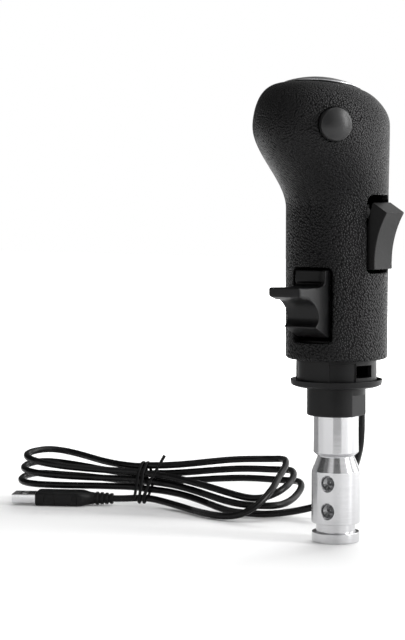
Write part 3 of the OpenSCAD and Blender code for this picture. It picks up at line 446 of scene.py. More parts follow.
rib = np.arange(4)[:, None]
rib_x = (rib + [0, 0.08, 0.5, 0.6, 0.68, 0.96]) * 11 / 4.5
rib_r = (2.2 + 0.2 * rib + [0.3, 0.5, 0.5, 0.35, 0, 0]).ravel()
boot_x = np.array([10, 10.8, 11.8, 13, 14.2, 15.5, 17, 17.4, 17.7, 19.9, 20.2, 23, 26, 28.8, 29.1, 34.3,
                   34.6, 37, 38.2, 38.7, 38.95, 39])
flare_from, flare_length, tip_from, tip_r = 10, 7, 38.2, 0.8
flare = smooth((boot_x - flare_from) / flare_length)
shut = round_edge(boot_x - tip_from, tip_r)
boot_x = np.r_[rib_x.ravel(), boot_x][:, None]
boot_w = np.r_[rib_r, 3 + 4 * flare - shut][:, None]
boot_h = np.r_[rib_r, 3 + 0.5 * flare - shut][:, None]
boot_corner = np.r_[rib_r, 3 - 1.2 * flare - 0.4 * shut][:, None]
around = np.linspace(0, 2 * np.pi, 72, endpoint=False)
reach = ray_reach(around, boot_w, boot_h, boot_corner)
boot = ringed(reach, boot_x, around)[..., [2, 0, 1]]
in_panel = (np.abs(boot_x - 18.8) < 1.3) | (np.abs(boot_x - 31.7) < 2.7)
on_side = smooth((2.4 - np.abs(boot[..., 2])) / 0.5) * (np.abs(boot[..., 1]) > 6)
boot[..., 1] *= 1 - 0.07 * in_panel * on_side
plug_boot = ring_piece("plug_boot", plug_start + boot @ plug_axes, sharp=30)
boot_finish = plastic("boot_plastic", *soft_black, 0.42, 0.05, 3000, 0.012)
dress(plug_boot, boot_finish, "cable_skin", "usb_plug_boot")


def walled(outer, inner, faces):
    """Closes a sheet into a wall: its faces on the outer points, the same faces turned over on the
    inner points, and a strip along every edge that only one face has."""
    count = len(outer)
    start = faces.ravel()
    stop = np.roll(faces, -1, axis=1).ravel()
    open_edge = ~np.isin(start * count + stop, stop * count + start)
    a = start[open_edge]
    b = stop[open_edge]
    strip = np.stack([b, a, a + count, b + count], 1)
    return np.vstack([outer, inner]), np.vstack([faces, faces[:, ::-1] + count, strip])


lines = np.array([-5.4, -4.15, -1.65, 1.65, 4.15, 5.4])
half = np.vstack([np.stack([lines, np.full(6, -2.25)], 1), arc((5.4, -1.65), 0.6, -90, 0, 5)[1:],
                  arc((5.4, 1.65), 0.6, 0, 90, 5)[:-1]])
shell_out = np.vstack([half, -half])
shell_in = shell_out * [5.7 / 6, 1.95 / 2.25]
shell_x = 39 + np.array([0, 2, 4.6, 7, 9, 11.5, 11.9, 12])
tuck = np.array([0, 0, 0, 0, 0, 0, 0.05, 0.2])[:, None, None]


def shell_skin(outline, towards):
    """The outline at each station, drawn in towards the tip's edge."""
    return bar_points(outline * (1 - tuck * towards), shell_x).reshape(-1, 3)


shell_faces = grid_faces(len(shell_x), len(shell_out), round_cols=True)
off = np.abs(shell_skin(shell_out, 0)[shell_faces].mean(1) - [44.8, 0, 0])
window = (np.abs(off[:, 1] - 2.9) < 1) & (off[:, 2] > 2.2) & (off[:, 0] < 1)
shell_skins = shell_skin(shell_out, 0.12), shell_skin(shell_in, 0)
shell_points, shell_faces = walled(*shell_skins, shell_faces[~window])
plug_shell = make_piece("plug_shell", plug_start + shell_points @ plug_axes, shell_faces, sharp=30)
shell_finish = plastic("plated_steel", (0.72, 0.72, 0.73), (0.8, 0.8, 0.81), 0.2, 0.04, 900, 0.004, metal=1)
dress(plug_shell, shell_finish, "plug_metal", "usb_plug_shell")


def paint(finish, *names):
    """Gives solids that keep their own mesh a better material."""
    for name in names:
        nodes[name].data.materials.clear()
        nodes[name].data.materials.append(finish)


paint(plastic("tongue_white", (0.7, 0.7, 0.69), (0.78, 0.78, 0.77), 0.4, 0.04, 2000, 0.01),
      "usb_plug_tongue")
paint(plastic("gilt", (0.7, 0.5, 0.18), (0.8, 0.6, 0.25), 0.25, 0.05, 2000, 0.003, metal=1), "usb_contacts")

# Floor and light
# A white table under white surroundings. For camera and mirrored rays the table also glows, little by
# the hank and more away from it: painted light that whitens the floor where the lamps fall off and
# lightens the knob's shadow at its foot. A tall lamp stands at the right, a long low one behind and
# one hangs overhead. Cards give the metal and the black skin something to reflect: dark ones in front
# and on the left, a bright one at the back and two small grey ones close to the shank.
hank_middle = (-0.113, 0.013, 0)
white = (1, 1, 1, 1)
one_face = np.array([[0, 1, 2, 3]])
slab = np.array([[-3, -3, 0], [3, -3, 0], [3, 3, 0], [-3, 3, 0]], float) * 1000 - [0, 0, 0.1]
floor = make_piece("floor", slab, one_face)


def emptied(owner):
    """The node tree of a material or a world, with nothing in it."""
    owner.use_nodes = True
    owner.node_tree.nodes.clear()
    return owner.node_tree


def seen_directly(tree):
    """1 for rays from the camera and for mirrored and passing ones, 0 for the light between surfaces."""
    path = add(tree, "ShaderNodeLightPath").outputs
    either = calc(tree, "MAXIMUM", path["Is Camera Ray"], path["Is Glossy Ray"])
    return calc(tree, "MAXIMUM", either, path["Is Transmission Ray"])


painted_glow_table = bpy.data.materials.new("white_table_painted_glow")
tree = emptied(painted_glow_table)
spot = add(tree, "ShaderNodeTexCoord").outputs["Object"]
# Painted light: for camera, mirrored and passing rays the table glows, hardly at all by the hank and more
# with distance from it. This keeps the table white where the lamps fall off and lightens the knob's shadow
# at its foot.
apart = add(tree, "ShaderNodeVectorMath", {0: spot, 1: hank_middle}, operation="DISTANCE").outputs["Value"]
spread = calc(tree, "SMOOTH_MIN", calc(tree, "MULTIPLY", apart, 1.2), 1, 0.2)
glow = add(tree, "ShaderNodeEmission", {"Strength": calc(tree, "MULTIPLY", seen_directly(tree), spread)})
matt = add(tree, "ShaderNodeBsdfDiffuse", {"Color": (0.82, 0.82, 0.82, 1)})
both = add(tree, "ShaderNodeAddShader", {0: matt.outputs[0], 1: glow.outputs[0]})
add(tree, "ShaderNodeOutputMaterial", {"Surface": both.outputs[0]})
floor.data.materials.append(painted_glow_table)

scene.world = bpy.data.worlds.new("white_room")
tree = emptied(scene.world)
ambient = add(tree, "ShaderNodeBackground", {"Color": white, "Strength": 0.3}).outputs[0]
backdrop = add(tree, "ShaderNodeBackground", {"Color": white}).outputs[0]
choose = add(tree, "ShaderNodeMixShader", {0: seen_directly(tree), 1: ambient, 2: backdrop})
add(tree, "ShaderNodeOutputWorld", {"Surface": choose.outputs[0]})


def lamp(name, place, aim, wide, high, watts, mirrored=False):
    """A flat rectangular lamp that faces a point, and that glossy surfaces mirror or not."""
    light = bpy.data.lights.new(name, "AREA")
    light.shape = "RECTANGLE"
    light.size = wide
    light.size_y = high
    light.energy = watts
    head = bpy.data.objects.new(name, light)
    way = np.array(aim) - np.array(place)
    tip = math.acos(-unit(way)[2])
    head.location = place
    head.rotation_euler = (tip, 0, math.atan2(way[1], way[0]) - math.pi / 2)
    head.visible_glossy = mirrored
    scene.collection.objects.link(head)


lamp("right_lamp", (1.0, 0.29, 0.5), (0, 0, 0.14), 0.22, 0.8, 8, mirrored=True)
lamp("back_lamp", (-0.6, 1.9, 0.95), (-0.08, 0, 0), 2.4, 0.5, 66)
lamp("top_lamp", (-0.05, 0.2, 1.25), (-0.05, 0, 0), 0.9, 0.9, 4.5)


def card(name, place, wide, high, grey):
    """A card that only mirrored rays see, turned to face the knob."""
    at = np.array(place, float)
    way = at - [0, 0, 0.12]
    side = unit(np.array([-way[1], way[0], 0]))
    up = np.cross(unit(way), side) * high / 2
    side = side * wide / 2
    corners = np.array([at - side - up, at + side - up, at + side + up, at - side + up])
    sheet = make_piece(name, corners * 1000, one_face)
    for ray in ("camera", "diffuse", "shadow", "transmission"):
        setattr(sheet, "visible_" + ray, False)
    tint = bpy.data.materials.new(name)
    tree = emptied(tint)
    glow = add(tree, "ShaderNodeEmission", {"Color": (grey, grey, grey, 1)})
    add(tree, "ShaderNodeOutputMaterial", {"Surface": glow.outputs[0]})
    sheet.data.materials.append(tint)


card("front_card", (0.782, -1.038, 0.4), 0.85, 2, 0.12)
card("left_card", (-1.188, -0.167, 0.4), 2.6, 2.2, 0.1)
card("back_left_card", (-0.787, 0.906, 0.4), 0.7, 2.2, 0.1)
card("roof_card", (-0.75, -0.5, 1.15), 2.2, 1.3, 0.1)
card("back_card", (0.636, 1.018, 0.5), 0.5, 1.6, 4.2)
card("low_front_card", (0.072, -0.096, 0.064), 0.08, 0.08, 0.62)
card("low_left_card", (-0.12, 0.006, 0.045), 0.11, 0.1, 0.45)

# Shank
# Turned from one aluminium bar: a foot, a groove, a clamp body with two tapped holes, a cone, a waist
# and a spigot. A lever goes up its bore, and a stud on top takes the nut that holds the grip.
body_r = 11.0
grub_levels = (14.8, 27.3)
hole_r, cone_foot = 2.95, 10.1
grub_turn = math.radians(-80)
grub_out, grub_side = heading(grub_turn)


def eased(corners, radius):
    """The same outline with each corner cut back along both its sides and joined by a parabola that
    runs level with them. Its two ends stay."""
    p = np.asarray(corners, float)
    mid = p[1:-1]
    back = p[:-2] - mid
    on = p[2:] - mid
    back_l = np.linalg.norm(back, axis=1, keepdims=True)
    on_l = np.linalg.norm(on, axis=1, keepdims=True)
    cut = np.minimum(radius, 0.45 * np.minimum(back_l, on_l))
    start = mid + back / back_l * cut
    stop = mid + on / on_l * cut
    s = np.linspace(0, 1, 4)[None, :, None]
    arcs = (1 - s) ** 2 * start[:, None] + 2 * s * (1 - s) * mid[:, None] + s**2 * stop[:, None]
    return np.vstack([p[:1], arcs.reshape(-1, 2), p[-1:]])


def spun(profile, turn):
    """A profile of radius and height turned about the vertical axis."""
    return ringed(profile[:, :1], profile[:, 1:], turn)


def even_normals(piece):
    """Shading that follows the large faces and turns only at the small ones along the edges."""
    piece.modifiers.new("even_normals", "WEIGHTED_NORMAL").keep_sharp = True
    return piece


def block_edge(cols, r0, r1, c0, c1, half_open=False):
    """Indices of the grid points round a block, anticlockwise. A half open block has no left side."""
    here = np.arange((r1 + 1) * cols).reshape(-1, cols)[r0:, c0:c1 + 1]
    sides = [here[0], here[1:, -1], here[-1, -2::-1], here[-2:0:-1, 0]]
    return np.concatenate(sides[:3] if half_open else sides)


def settle(skin, turn, level, side, centre, p, q):
    """Turn and level at which a skin passes through given distances across and up from a centre, by
    Newton's method with the slopes taken from two small steps."""
    step = 1e-4

    def miss(turn, level):
        here = skin(turn, level) - centre
        return here @ side - p, here[..., 2] - q

    for _ in range(14):
        f, g = miss(turn, level)
        ft, gt = miss(turn + step, level)
        fl, gl = miss(turn, level + step)
        a, b, c, d = (ft - f) / step, (fl - f) / step, (gt - g) / step, (gl - g) / step
        det = a * d - b * c
        turn = turn - np.clip((d * f - b * g) / det, -0.05, 0.05)
        level = level - np.clip((a * g - c * f) / det, -2, 2)
    return turn, level


def opening(skin, turn, level, edge, side, centre, outline, gaps, rings):
    """Rings of points between an opening's outline and the edge of its block, as turns, levels and
    gaps. Each lies on the line from the centre to a point of the edge: the first rings at fixed gaps
    from the outline, the others at equal parts of what is left."""
    here = skin(turn[edge], level[edge]) - centre
    flat = np.stack([here @ side, here[:, 2]], 1)
    angle = np.arctan2(flat[:, 1], flat[:, 0])
    inner = outline(angle)
    left = np.linalg.norm(flat, axis=1) - inner
    rest = np.linspace(0, 1, rings + 1)[1:-1, None]
    gap = np.vstack([np.tile(np.array(gaps)[:, None], (1, len(edge))), gaps[-1] + (left - gaps[-1]) * rest])
    out = inner + gap
    start = np.tile(turn[edge], (len(gap), 1)), np.tile(level[edge], (len(gap), 1))
    found = settle(skin, *start, side, centre, out * np.cos(angle), out * np.sin(angle))
    return *found, gap, angle


def ring_faces(rings, edge, first, closed):
    """Faces of an opening's rings, numbered from first, out to the edge of the block."""
    index = np.vstack([first + np.arange(rings * len(edge)).reshape(rings, -1), edge])
    return index.ravel()[grid_faces(rings + 1, len(edge), round_cols=closed)][:, ::-1]


lower = eased([(0.4, 36), (6.2, 36), (6.2, 0), (10.8, 0), (10.8, 4.5), (8.9, 4.5), (8.9, 8.6),
               (body_r, 8.6), (body_r, 9.9)], 0.35)[:-1]
band_z = np.r_[np.linspace(9.9, 19.7, 9), np.linspace(22.7, 31.9, 9)]
upper = eased([(body_r, 31.9), (body_r, 32.2), (8.3, 39), (10.3, 40.8), (10.3, 70.6), (6, 70.6), (6, 86.1),
               (0.4, 86.1)], 0.3)[1:]
shank_profile = np.vstack([lower, np.stack([np.full(18, body_r), band_z], 1), upper])
shank_turn = grub_turn + np.radians(np.arange(-45, 315, 3.75))
shank_cols = len(shank_turn)
shank_points = spun(shank_profile, shank_turn).reshape(-1, 3)
shank_faces = grid_faces(len(shank_profile), shank_cols, round_cols=True)
turn_at = np.tile(shank_turn, len(shank_profile))
level_at = np.repeat(shank_profile[:, 1], shank_cols)


def body_skin(turn, level):
    """The clamp body's side: a plain cylinder."""
    return ringed(body_r, level, turn)


def sunk(angle):
    """Edge of a countersink on the round body: its cone widens by as much as the body stands above
    the cone's foot, found by repeating that."""
    out = np.full_like(angle, hole_r + 0.35)
    for _ in range(30):
        out = hole_r + np.sqrt(body_r**2 - (out * np.cos(angle)) ** 2) - cone_foot
    return out


cells_up, first_cell, last_cell = 8, 5, 19
kept = np.ones((len(shank_profile) - 1, shank_cols), bool)
caps = end_faces(len(shank_profile), shank_cols)
hole_faces = []
for i, z in enumerate(grub_levels):
    r0 = len(lower) + (cells_up + 1) * i
    r1 = r0 + cells_up
    edge = block_edge(shank_cols, r0, r1, first_cell, last_cell)
    kept[r0:r1, first_cell:last_cell] = False
    centre = np.array([0, 0, z])
    turn, level, gap, angle = opening(body_skin, turn_at, level_at, edge, grub_side, centre, sunk,
                                      (0, 0.06, 0.16), 4)
    around_hole = np.cos(angle)[:, None] * grub_side + np.sin(angle)[:, None] * up_axis
    walls = [centre + hole_r * around_hole + w * grub_out for w in (6.45, 9.7, cone_foot - 0.02)]
    rings = np.concatenate([walls, body_skin(turn, level)])
    first = len(shank_points)
    hole_faces.append(ring_faces(len(rings), edge, first, True))
    caps.append(list(range(first, first + len(edge))))
    shank_points = np.vstack([shank_points, rings.reshape(-1, 3)])
shank_faces = np.vstack([shank_faces[kept.ravel()], *hole_faces])
shank = even_normals(make_piece("turned_shank", shank_points, shank_faces, caps, sharp=50))


def ring_pattern(group, place, scale):
    """Noise squeezed flat into rings for the height and the shade, with slow clouds in the gloss."""
    flat = add(group, "ShaderNodeMapping", {"Vector": place, "Scale": (0.02, 0.02, 1)}).outputs[0]
    rings = noise_of(group, flat, scale, 3)
    both = calc(group, "ADD", rings, noise_of(group, place, 120, 3))
    return rings, rings, calc(group, "MULTIPLY_ADD", both, 2, -2)


turned = surface_effect("turned_rings", ring_pattern)
shank_finish = plastic("turned_aluminium", (0.52, 0.52, 0.53), (0.59, 0.59, 0.6), 0.22, 0.05, 5000, 0.004,
                       metal=1, specular=0.5, surface=turned)
tree = shank_finish.node_tree
sockets = tree.nodes["Principled BSDF"].inputs
sockets["Anisotropic"].default_value = 0.7
sockets["Anisotropic Rotation"].default_value = 0.25
tangent = add(tree, "ShaderNodeTangent", direction_type="RADIAL", axis="Z")
feed(tree, sockets["Tangent"], tangent.outputs[0])
dress(shank, shank_finish, "shank_metal", "shank")

# Steel hardware
# The grub screws that clamp the shank are dark steel, darker as painted shade for the holes they sit in,
# with a dished outer end. The nut and washer, the hinge pins, the springs, the detent ball and the small
# screws are zinc plated.
grub_profile = eased([(0.3, 6.6), (2.8, 6.6), (2.8, 8.7), (2.65, 8.8), (1.25, 7.85), (0.2, 6.7)], 0.06)
coarse_turn = np.radians(np.arange(0, 360, 10))
one_screw = spun(grub_profile, coarse_turn) @ [grub_side, up_axis, grub_out]
grub_screws = ring_piece("grub_screw_pair", *(one_screw + [0, 0, z] for z in grub_levels))
# Painted shade: the grub screws' steel is darkened to stand in for the shade down in their holes.
black_steel = plastic("dark_steel_painted_shade", (0.27, 0.27, 0.275), (0.32, 0.32, 0.326), 0.12, 0.03, 1500, 0.004,
                      metal=1)
dress(even_normals(grub_screws), black_steel, "black_steel", "grub_screws")
steel_finish = plastic("plated_steel_screws", (0.5, 0.5, 0.51), (0.62, 0.62, 0.63), 0.28, 0.06, 1500, 0.006,
                       metal=1)
paint(steel_finish, "shank_washer", "shank_nut", "board_screws", "board_parts", "lever_pin",
      "rocker_pin", "cradle_screws", "detent_ball", "detent_spring", "button_spring")

# Lock collar
# A black moulded nut under the sleeve, with two wrench flats and a groove up its back for the cable.
groove_at, groove_half, groove_r, groove_centre = 57, 8.05, 1.9, 12.75
collar_r, flat_half = 13.3, 11.9
near_groove = groove_at + np.r_[np.linspace(-8.01, 8.01, 13), -8.1, 8.1]
flat_ends = [26.52, 153.48, 206.52, 333.48]
turn = np.radians(np.unique(np.r_[np.arange(0, 360, 3), flat_ends, near_groove]))
off = turn - math.radians(groove_at)
in_groove = np.abs(off) < math.radians(groove_half)
off = np.where(in_groove, off, 0)
aside = groove_centre * np.sin(off)
groove = groove_centre * np.cos(off) - np.sqrt(np.maximum(groove_r**2 - aside**2, 0))
whole = np.where(in_groove, groove, collar_r)
cut = np.minimum(whole, flat_half / np.maximum(np.abs(np.cos(turn)), 0.1))
bore = np.full_like(turn, 10.45)
radii = np.stack([bore, cut - 0.4, cut, cut, whole, whole, whole - 0.35, bore])
heights = np.array([57.6, 57.6, 58.1, 67.2, 67.2, 70.2, 70.6, 70.6])
collar_rings = ringed(radii, heights[:, None], turn)
collar = ring_piece("lock_nut", collar_rings, closed={0}, weld=True, sharp=30)


def soften_edges(piece, width):
    """Rounds the edges of a hard piece and keeps its large faces flat."""
    edge = piece.modifiers.new("soft_edges", "BEVEL")
    edge.width = width * MM
    edge.segments = 2
    edge.limit_method = "ANGLE"
    edge.angle_limit = math.radians(30)
    return even_normals(piece)


soften_edges(collar, 0.15)
satin_black = (0.005, 0.005, 0.0053), (0.008, 0.008, 0.0084)
black_finish = plastic("black_plastic_satin", *satin_black, 0.42, 0.05, 2600, 0.012)
dress(collar, black_finish, "black_plastic", "lock_collar")

# Gaiter ring
# A thin black ring with an upturned edge, moulded to clip the top of a gear gaiter under the sleeve.
ring_outline = [(18.35, 71.3), (18.35, 70.6), (20.4, 71.5), (20.8, 73.9), (20.3, 73.9), (19.8, 72.6),
                (18.35, 72), (18.35, 71.3)]
full_turn = np.radians(np.arange(0, 360, 3))
gaiter = ring_piece("gaiter_clip_ring", spun(eased(ring_outline, 0.25)[:-1], full_turn), closed={0})
dress(even_normals(gaiter), black_finish, "black_plastic", "gaiter_ring")

# Core sleeve
# A black moulded cup that joins the grip to the shank. It has a window and two shallow panels on each
# side, and a rib near its top that holds the grip's foot.
sleeve_out, sleeve_in, sleeve_bore, rib_out = 18.2, 16.2, 6.15, 19.4
panel_at, panel_half, panel_depth = 40, 19, 0.6
window_at = 75
window_half = math.degrees(math.asin(4.75 / sleeve_out))
panel_edges = np.array([panel_at - panel_half, panel_at + panel_half])
window_edges = np.array([window_at - window_half, window_at + window_half])
marks = np.r_[panel_edges - 0.4, panel_edges + 0.4, window_edges]
marks = np.r_[-90 + marks, -90 - marks + 360, -90 + marks + 360] % 360
turn = np.radians(np.unique(np.r_[np.arange(0, 360, 4), marks]))
level = np.array([70.6, 70.6, 73.8, 74.0, 75.5, 81, 81.9, 82.1, 87.05, 87.05, 88.55, 88.55, 89.5])
radius = np.r_[sleeve_bore, np.full(8, sleeve_out), rib_out, rib_out, sleeve_out, sleeve_out]
from_front = np.abs((np.degrees(turn) + 90 + 180) % 360 - 180)
in_panel = np.abs(from_front - panel_at) < panel_half
in_rows = (level > 73.9) & (level < 82)
sleeve_r = radius[:, None] - panel_depth * (in_rows[:, None] & in_panel[None])
outer = ringed(sleeve_r, level[:, None], turn).reshape(-1, 3)
level_in = np.maximum(level, 73.6)
level_in[2:4] = (73.8, 74.0)
inner_r = np.where(np.arange(len(level)) == 0, sleeve_bore, sleeve_in)
inner = ringed(inner_r[:, None], level_in[:, None], turn).reshape(-1, 3)
sleeve_faces = grid_faces(len(level), len(turn), round_cols=True)
middle = outer[sleeve_faces].mean(1)
aside = np.abs(np.degrees(np.arctan2(middle[:, 0], -middle[:, 1])))
is_window = (np.abs(aside - window_at) < window_half) & (middle[:, 2] > 75.6) & (middle[:, 2] < 80.9)
sleeve_points, sleeve_faces = walled(outer, inner, sleeve_faces[~is_window])
sleeve = make_piece("sleeve_cup", sleeve_points, sleeve_faces, sharp=30)
dress(soften_edges(sleeve, 0.2), black_finish, "black_plastic", "core_sleeve")

# Insides
# What shows through the slots: the frame, the cradles and the switches in dark plastic, the boards,
# the wires, and the cable's inner end.
paint(plastic("dark_inner_plastic", *satin_black, 0.5, 0.06, 2000, 0.02), "cable_clamp", "core_frame",
      "controller_chip", "lever_cradle", "range_switch", "rocker_cradle", "rocker_switches", "button_cup",
      "button_switch")
paint(plastic("green_board", (0.015, 0.09, 0.04), (0.025, 0.13, 0.06), 0.3, 0.05, 1400, 0.01),
      "main_board", "button_board")
paint(plastic("red_wire", (0.05, 0.006, 0.006), (0.07, 0.009, 0.009), 0.4, 0.04, 2000, 0.01),
      "switch_wires")
paint(cable_finish, "usb_cable_inner")

# Grip shells
# Two hollow halves moulded in black plastic with a leather grain, joined on a line down the front and
# the back. The head leans forward over the column. Slots are left for the lever and the rocker, and a
# round hole for the button.
z_grip, z_neck, z_head = 83.3, 150.8, 186.8
neck_h, crown_h, crown_run = 36.0, 16.2, 30.0
edge_r, wall, seam, seam_dip = 1.5, 2.6, 0.02, 0.15
column_r, head_long, head_wide, head_lean, seat_r = 23, 12, 5.4, 13.7, 17.6
ledge_top, ledge_in = 86.9, 4.65
cap_turn = math.radians(9)


def grip_skin(turn, level, inset=0.0):
    """The grip's skin at a turn about it and a level up its side. Up the column a circle, through the
    neck an ellipse that grows and leans forward, over the crown a quarter ellipse to the cap's seat,
    which falls to the rear. Below the column the level runs round the foot's edge and under it."""
    s = smooth((level - z_neck) / neck_h)
    over = np.clip((level - z_head) / crown_run, 0, 1) * np.pi / 2
    rim = seat_r - 0.73 * inset - np.maximum(level - z_head - crown_run, 0)
    under = np.clip((z_grip + edge_r - level) / edge_r, 0, np.pi / 2)
    inward = edge_r * (1 - np.cos(under)) + np.maximum(z_grip + edge_r - level - edge_r * np.pi / 2, 0)
    inward = np.where(inset > 0, np.where(level < ledge_top, ledge_in, inset), inward)
    long = rim + (column_r + head_long * s - inward - rim) * np.cos(over)
    wide = rim + (column_r + head_wide * s - inward - rim) * np.cos(over)
    z = np.clip(level, z_grip + edge_r, z_head) - edge_r * np.sin(under) + (crown_h - inset) * np.sin(over)
    x = seam / 2 + (wide - seam / 2) * np.cos(turn)
    y = long * np.sin(turn) - head_lean * s
    z = z - math.tan(cap_turn) * (y + head_lean) * smooth((z - z_head) / crown_h)
    return np.stack([x, y, z], -1)


def slot(half_w, half_h):
    """Outline of a slot with rounded corners."""
    return lambda angle: ray_reach(angle, half_w, half_h, 2.5)


seam_cols = np.degrees(np.array([0, 0.03, 0.08, 0.16]) / column_r)
cols = np.radians(np.r_[-90 + seam_cols, np.linspace(-88, 88, 65), 90 - seam_cols[::-1]])
foot_rows = z_grip + edge_r - edge_r * np.r_[np.pi / 2 + 2.0, np.linspace(np.pi / 2, 0, 8)]
side_rows = np.linspace(z_grip + edge_r, z_head, 72)[1:]
crown_rows = z_head + crown_run * np.r_[np.linspace(0, 1, 26)[1:], 1.02, 1.055]
rows = np.r_[foot_rows, side_rows, crown_rows]
button_side = np.array([0.587785, 0.809017, 0])
button_place = np.array([21.158, -37.048, z_head])
slot_gaps = (0, 0.03, 0.1, 0.22, 0.38, 0.55)
button_gaps = (0, 0.04, 0.12, 0.25, 0.42, 0.6)


def button_edge(angle):
    """Outline of the button's hole, a circle."""
    return np.full_like(angle, 7.4)


# Each hole has the turns and levels of its block, the way across it, its centre, outline and gaps.
lever_hole = (-90, -54), (88, 128.3), (1, 0, 0), (seam / 2, 0, 108.1), slot(10.1, 16.7), slot_gaps
rocker_hole = (-33, 33), (118.6, 160.2), (0, 1, 0), (0, 0, 139.4), slot(9.4, 17.2), slot_gaps
button_hole = (-62, -22), (175.4, 200), button_side, button_place, button_edge, button_gaps


def grip_half(name, holes, mirror):
    """Half a grip: a grid of turns and levels with a block cut out for each hole and filled again by
    rings round the hole's edge. The skin dips in a quarter circle along the holes and the seam."""
    turn = np.tile(cols, len(rows))
    level = np.repeat(rows, len(cols))
    dip = np.zeros(len(turn))
    faces = grid_faces(len(rows), len(cols))
    kept = np.ones((len(rows) - 1, len(cols) - 1), bool)
    added = []
    for turns, levels, side, centre, outline, gaps in holes:
        c0, c1 = (np.abs(np.degrees(cols) - t).argmin() for t in turns)
        r0, r1 = (np.abs(rows - v).argmin() for v in levels)
        kept[r0:r1, c0:c1] = False
        half_open = c0 == 0
        edge = block_edge(len(cols), r0, r1, c0, c1, half_open)
        new_turn, new_level, gap, _ = opening(grip_skin, turn, level, edge, side, centre, outline, gaps, 7)
        added.append(ring_faces(len(gap), edge, len(turn), not half_open))
        lip = gaps[-1] + 0.05
        turn = np.r_[turn, new_turn.ravel()]
        level = np.r_[level, new_level.ravel()]
        dip = np.r_[dip, round_edge(lip - gap, lip).ravel()]
    faces = np.vstack([faces[kept.ravel()], *added])
    outer = grip_skin(turn, level)
    dip = np.maximum(dip, round_edge(seam_dip + seam / 2 - outer[:, 0], seam_dip))
    step = 1e-3
    lengthways = grip_skin(turn, level + step) - outer
    sideways = grip_skin(np.minimum(turn + step, 1.5), level) - grip_skin(np.minimum(turn, 1.499), level)
    out = unit(np.cross(sideways, lengthways))
    out = np.where(np.abs(np.degrees(turn)[:, None]) > 85, ringed(1, 0, turn), out)
    outer = outer - dip[:, None] * out
    inner = grip_skin(turn, level, wall)
    points, faces = walled(outer, inner, faces)
    if mirror:
        points = points * [-1, 1, 1]
        turn = np.pi - turn
    uv = np.stack([turn * (column_r + 8 * smooth((level - z_neck) / neck_h)), level], 1) / 100
    return make_piece(name, points, faces, uv=np.vstack([uv, uv]), sharp=50)


def leather(name):
    """Moulded leather grain on the skin's own map: round pebbles on the head, longer slanting ones down
    the column and a fine tooth over all of it. The tops shine and the creases stay dull."""
    finish, tree, sockets = new_finish(name, (0.005, 0.005, 0.0053), 0, 0.16)
    skin = add(tree, "ShaderNodeUVMap", uv_map="skin").outputs[0]
    up = add(tree, "ShaderNodeSeparateXYZ", {0: skin}).outputs["Y"]
    place = add(tree, "ShaderNodeTexCoord").outputs["Object"]
    stir = add(tree, "ShaderNodeTexNoise", {"Vector": place, "Scale": 260}).outputs["Color"]
    stirred = {0: stir, 1: (0.004, 0.004, 0), 2: skin}
    waver = add(tree, "ShaderNodeVectorMath", stirred, operation="MULTIPLY_ADD").outputs[0]

    def pebbles(angle, scale):
        """Heights of pebbles that are as long and as wide as the scale, turned by the angle."""
        laid = {"Vector": waver, "Rotation": (0, 0, math.radians(angle)), "Scale": (*scale, 1)}
        laid = add(tree, "ShaderNodeMapping", laid, vector_type="TEXTURE").outputs[0]
        cell = add(tree, "ShaderNodeTexVoronoi", {"Vector": laid, "Scale": 1, "Smoothness": 0.2},
                   voronoi_dimensions="2D", feature="SMOOTH_F1")
        return calc(tree, "SUBTRACT", 1, calc(tree, "POWER", cell.outputs["Distance"], 1.6))

    above_neck = calc(tree, "MULTIPLY_ADD", up, 3, -4.5)
    on_head = calc(tree, "SMOOTH_MIN", 1, calc(tree, "MAXIMUM", above_neck, 0), 0.1)
    on_column = calc(tree, "SUBTRACT", 1, on_head)
    head = calc(tree, "MULTIPLY", pebbles(20, (0.009, 0.008)), on_head)
    column = calc(tree, "MULTIPLY", pebbles(-52, (0.0118, 0.0085)), on_column)
    grain = calc(tree, "ADD", head, column)
    tops = calc(tree, "MAXIMUM", calc(tree, "SUBTRACT", grain, 0.84), 0)
    tooth = noise_of(tree, place, 2600, 2)
    shaded(tree, sockets, grain, (0.004, 0.004, 0.0042), (0.007, 0.007, 0.0073))
    feed(tree, sockets["Roughness"], calc(tree, "MULTIPLY_ADD", grain, -0.36, 0.62))
    feed(tree, sockets["Specular IOR Level"], calc(tree, "MULTIPLY_ADD", tops, 1.1, 0.125))
    bumped(tree, sockets, calc(tree, "MULTIPLY_ADD", tooth, 0.04, grain), 0.6)
    return finish


grip_finish = leather("grained_black_skin")
left_half = grip_half("grip_left_half", [lever_hole, rocker_hole, button_hole], False)
dress(left_half, grip_finish, "grip_skin", "grip_shell_left")
right_half = grip_half("grip_right_half", [lever_hole], True)
dress(right_half, grip_finish, "grip_skin", "grip_shell_right")

# Cap
# A domed aluminium disc, satin finished, pressed on a black ring that fits in the hole of the crown.
cap_rear = (0, math.cos(cap_turn), -math.sin(cap_turn))
cap_up = (0, math.sin(cap_turn), math.cos(cap_turn))
cap_axes = [(1, 0, 0), cap_rear, cap_up]
cap_place = (0, -head_lean, 203)
seat_outline = [(13.4, -1), (13.4, -3.95), (15.2, -3.95), (15.2, 0.05), (17.5, 0.05), (17.5, 1.05),
                (13.4, 1.05), (13.4, -1)]
seat_rings = spun(eased(seat_outline, 0.2)[:-1], full_turn)
cap_ring = ring_piece("cap_seat_ring", cap_place + seat_rings @ cap_axes, closed={0})
dress(even_normals(cap_ring), black_finish, "black_plastic", "cap_ring")


def dome(half, rise, top, start, stop, count):
    """Profile of a dome up to its top: part of a circle through its rim and its middle, from a distance
    out to an angle beside the axis."""
    r = (half**2 + rise**2) / (2 * rise)
    return arc((0, top - r), r, 90 - math.degrees(math.asin(start / r)), 90 - stop, count)


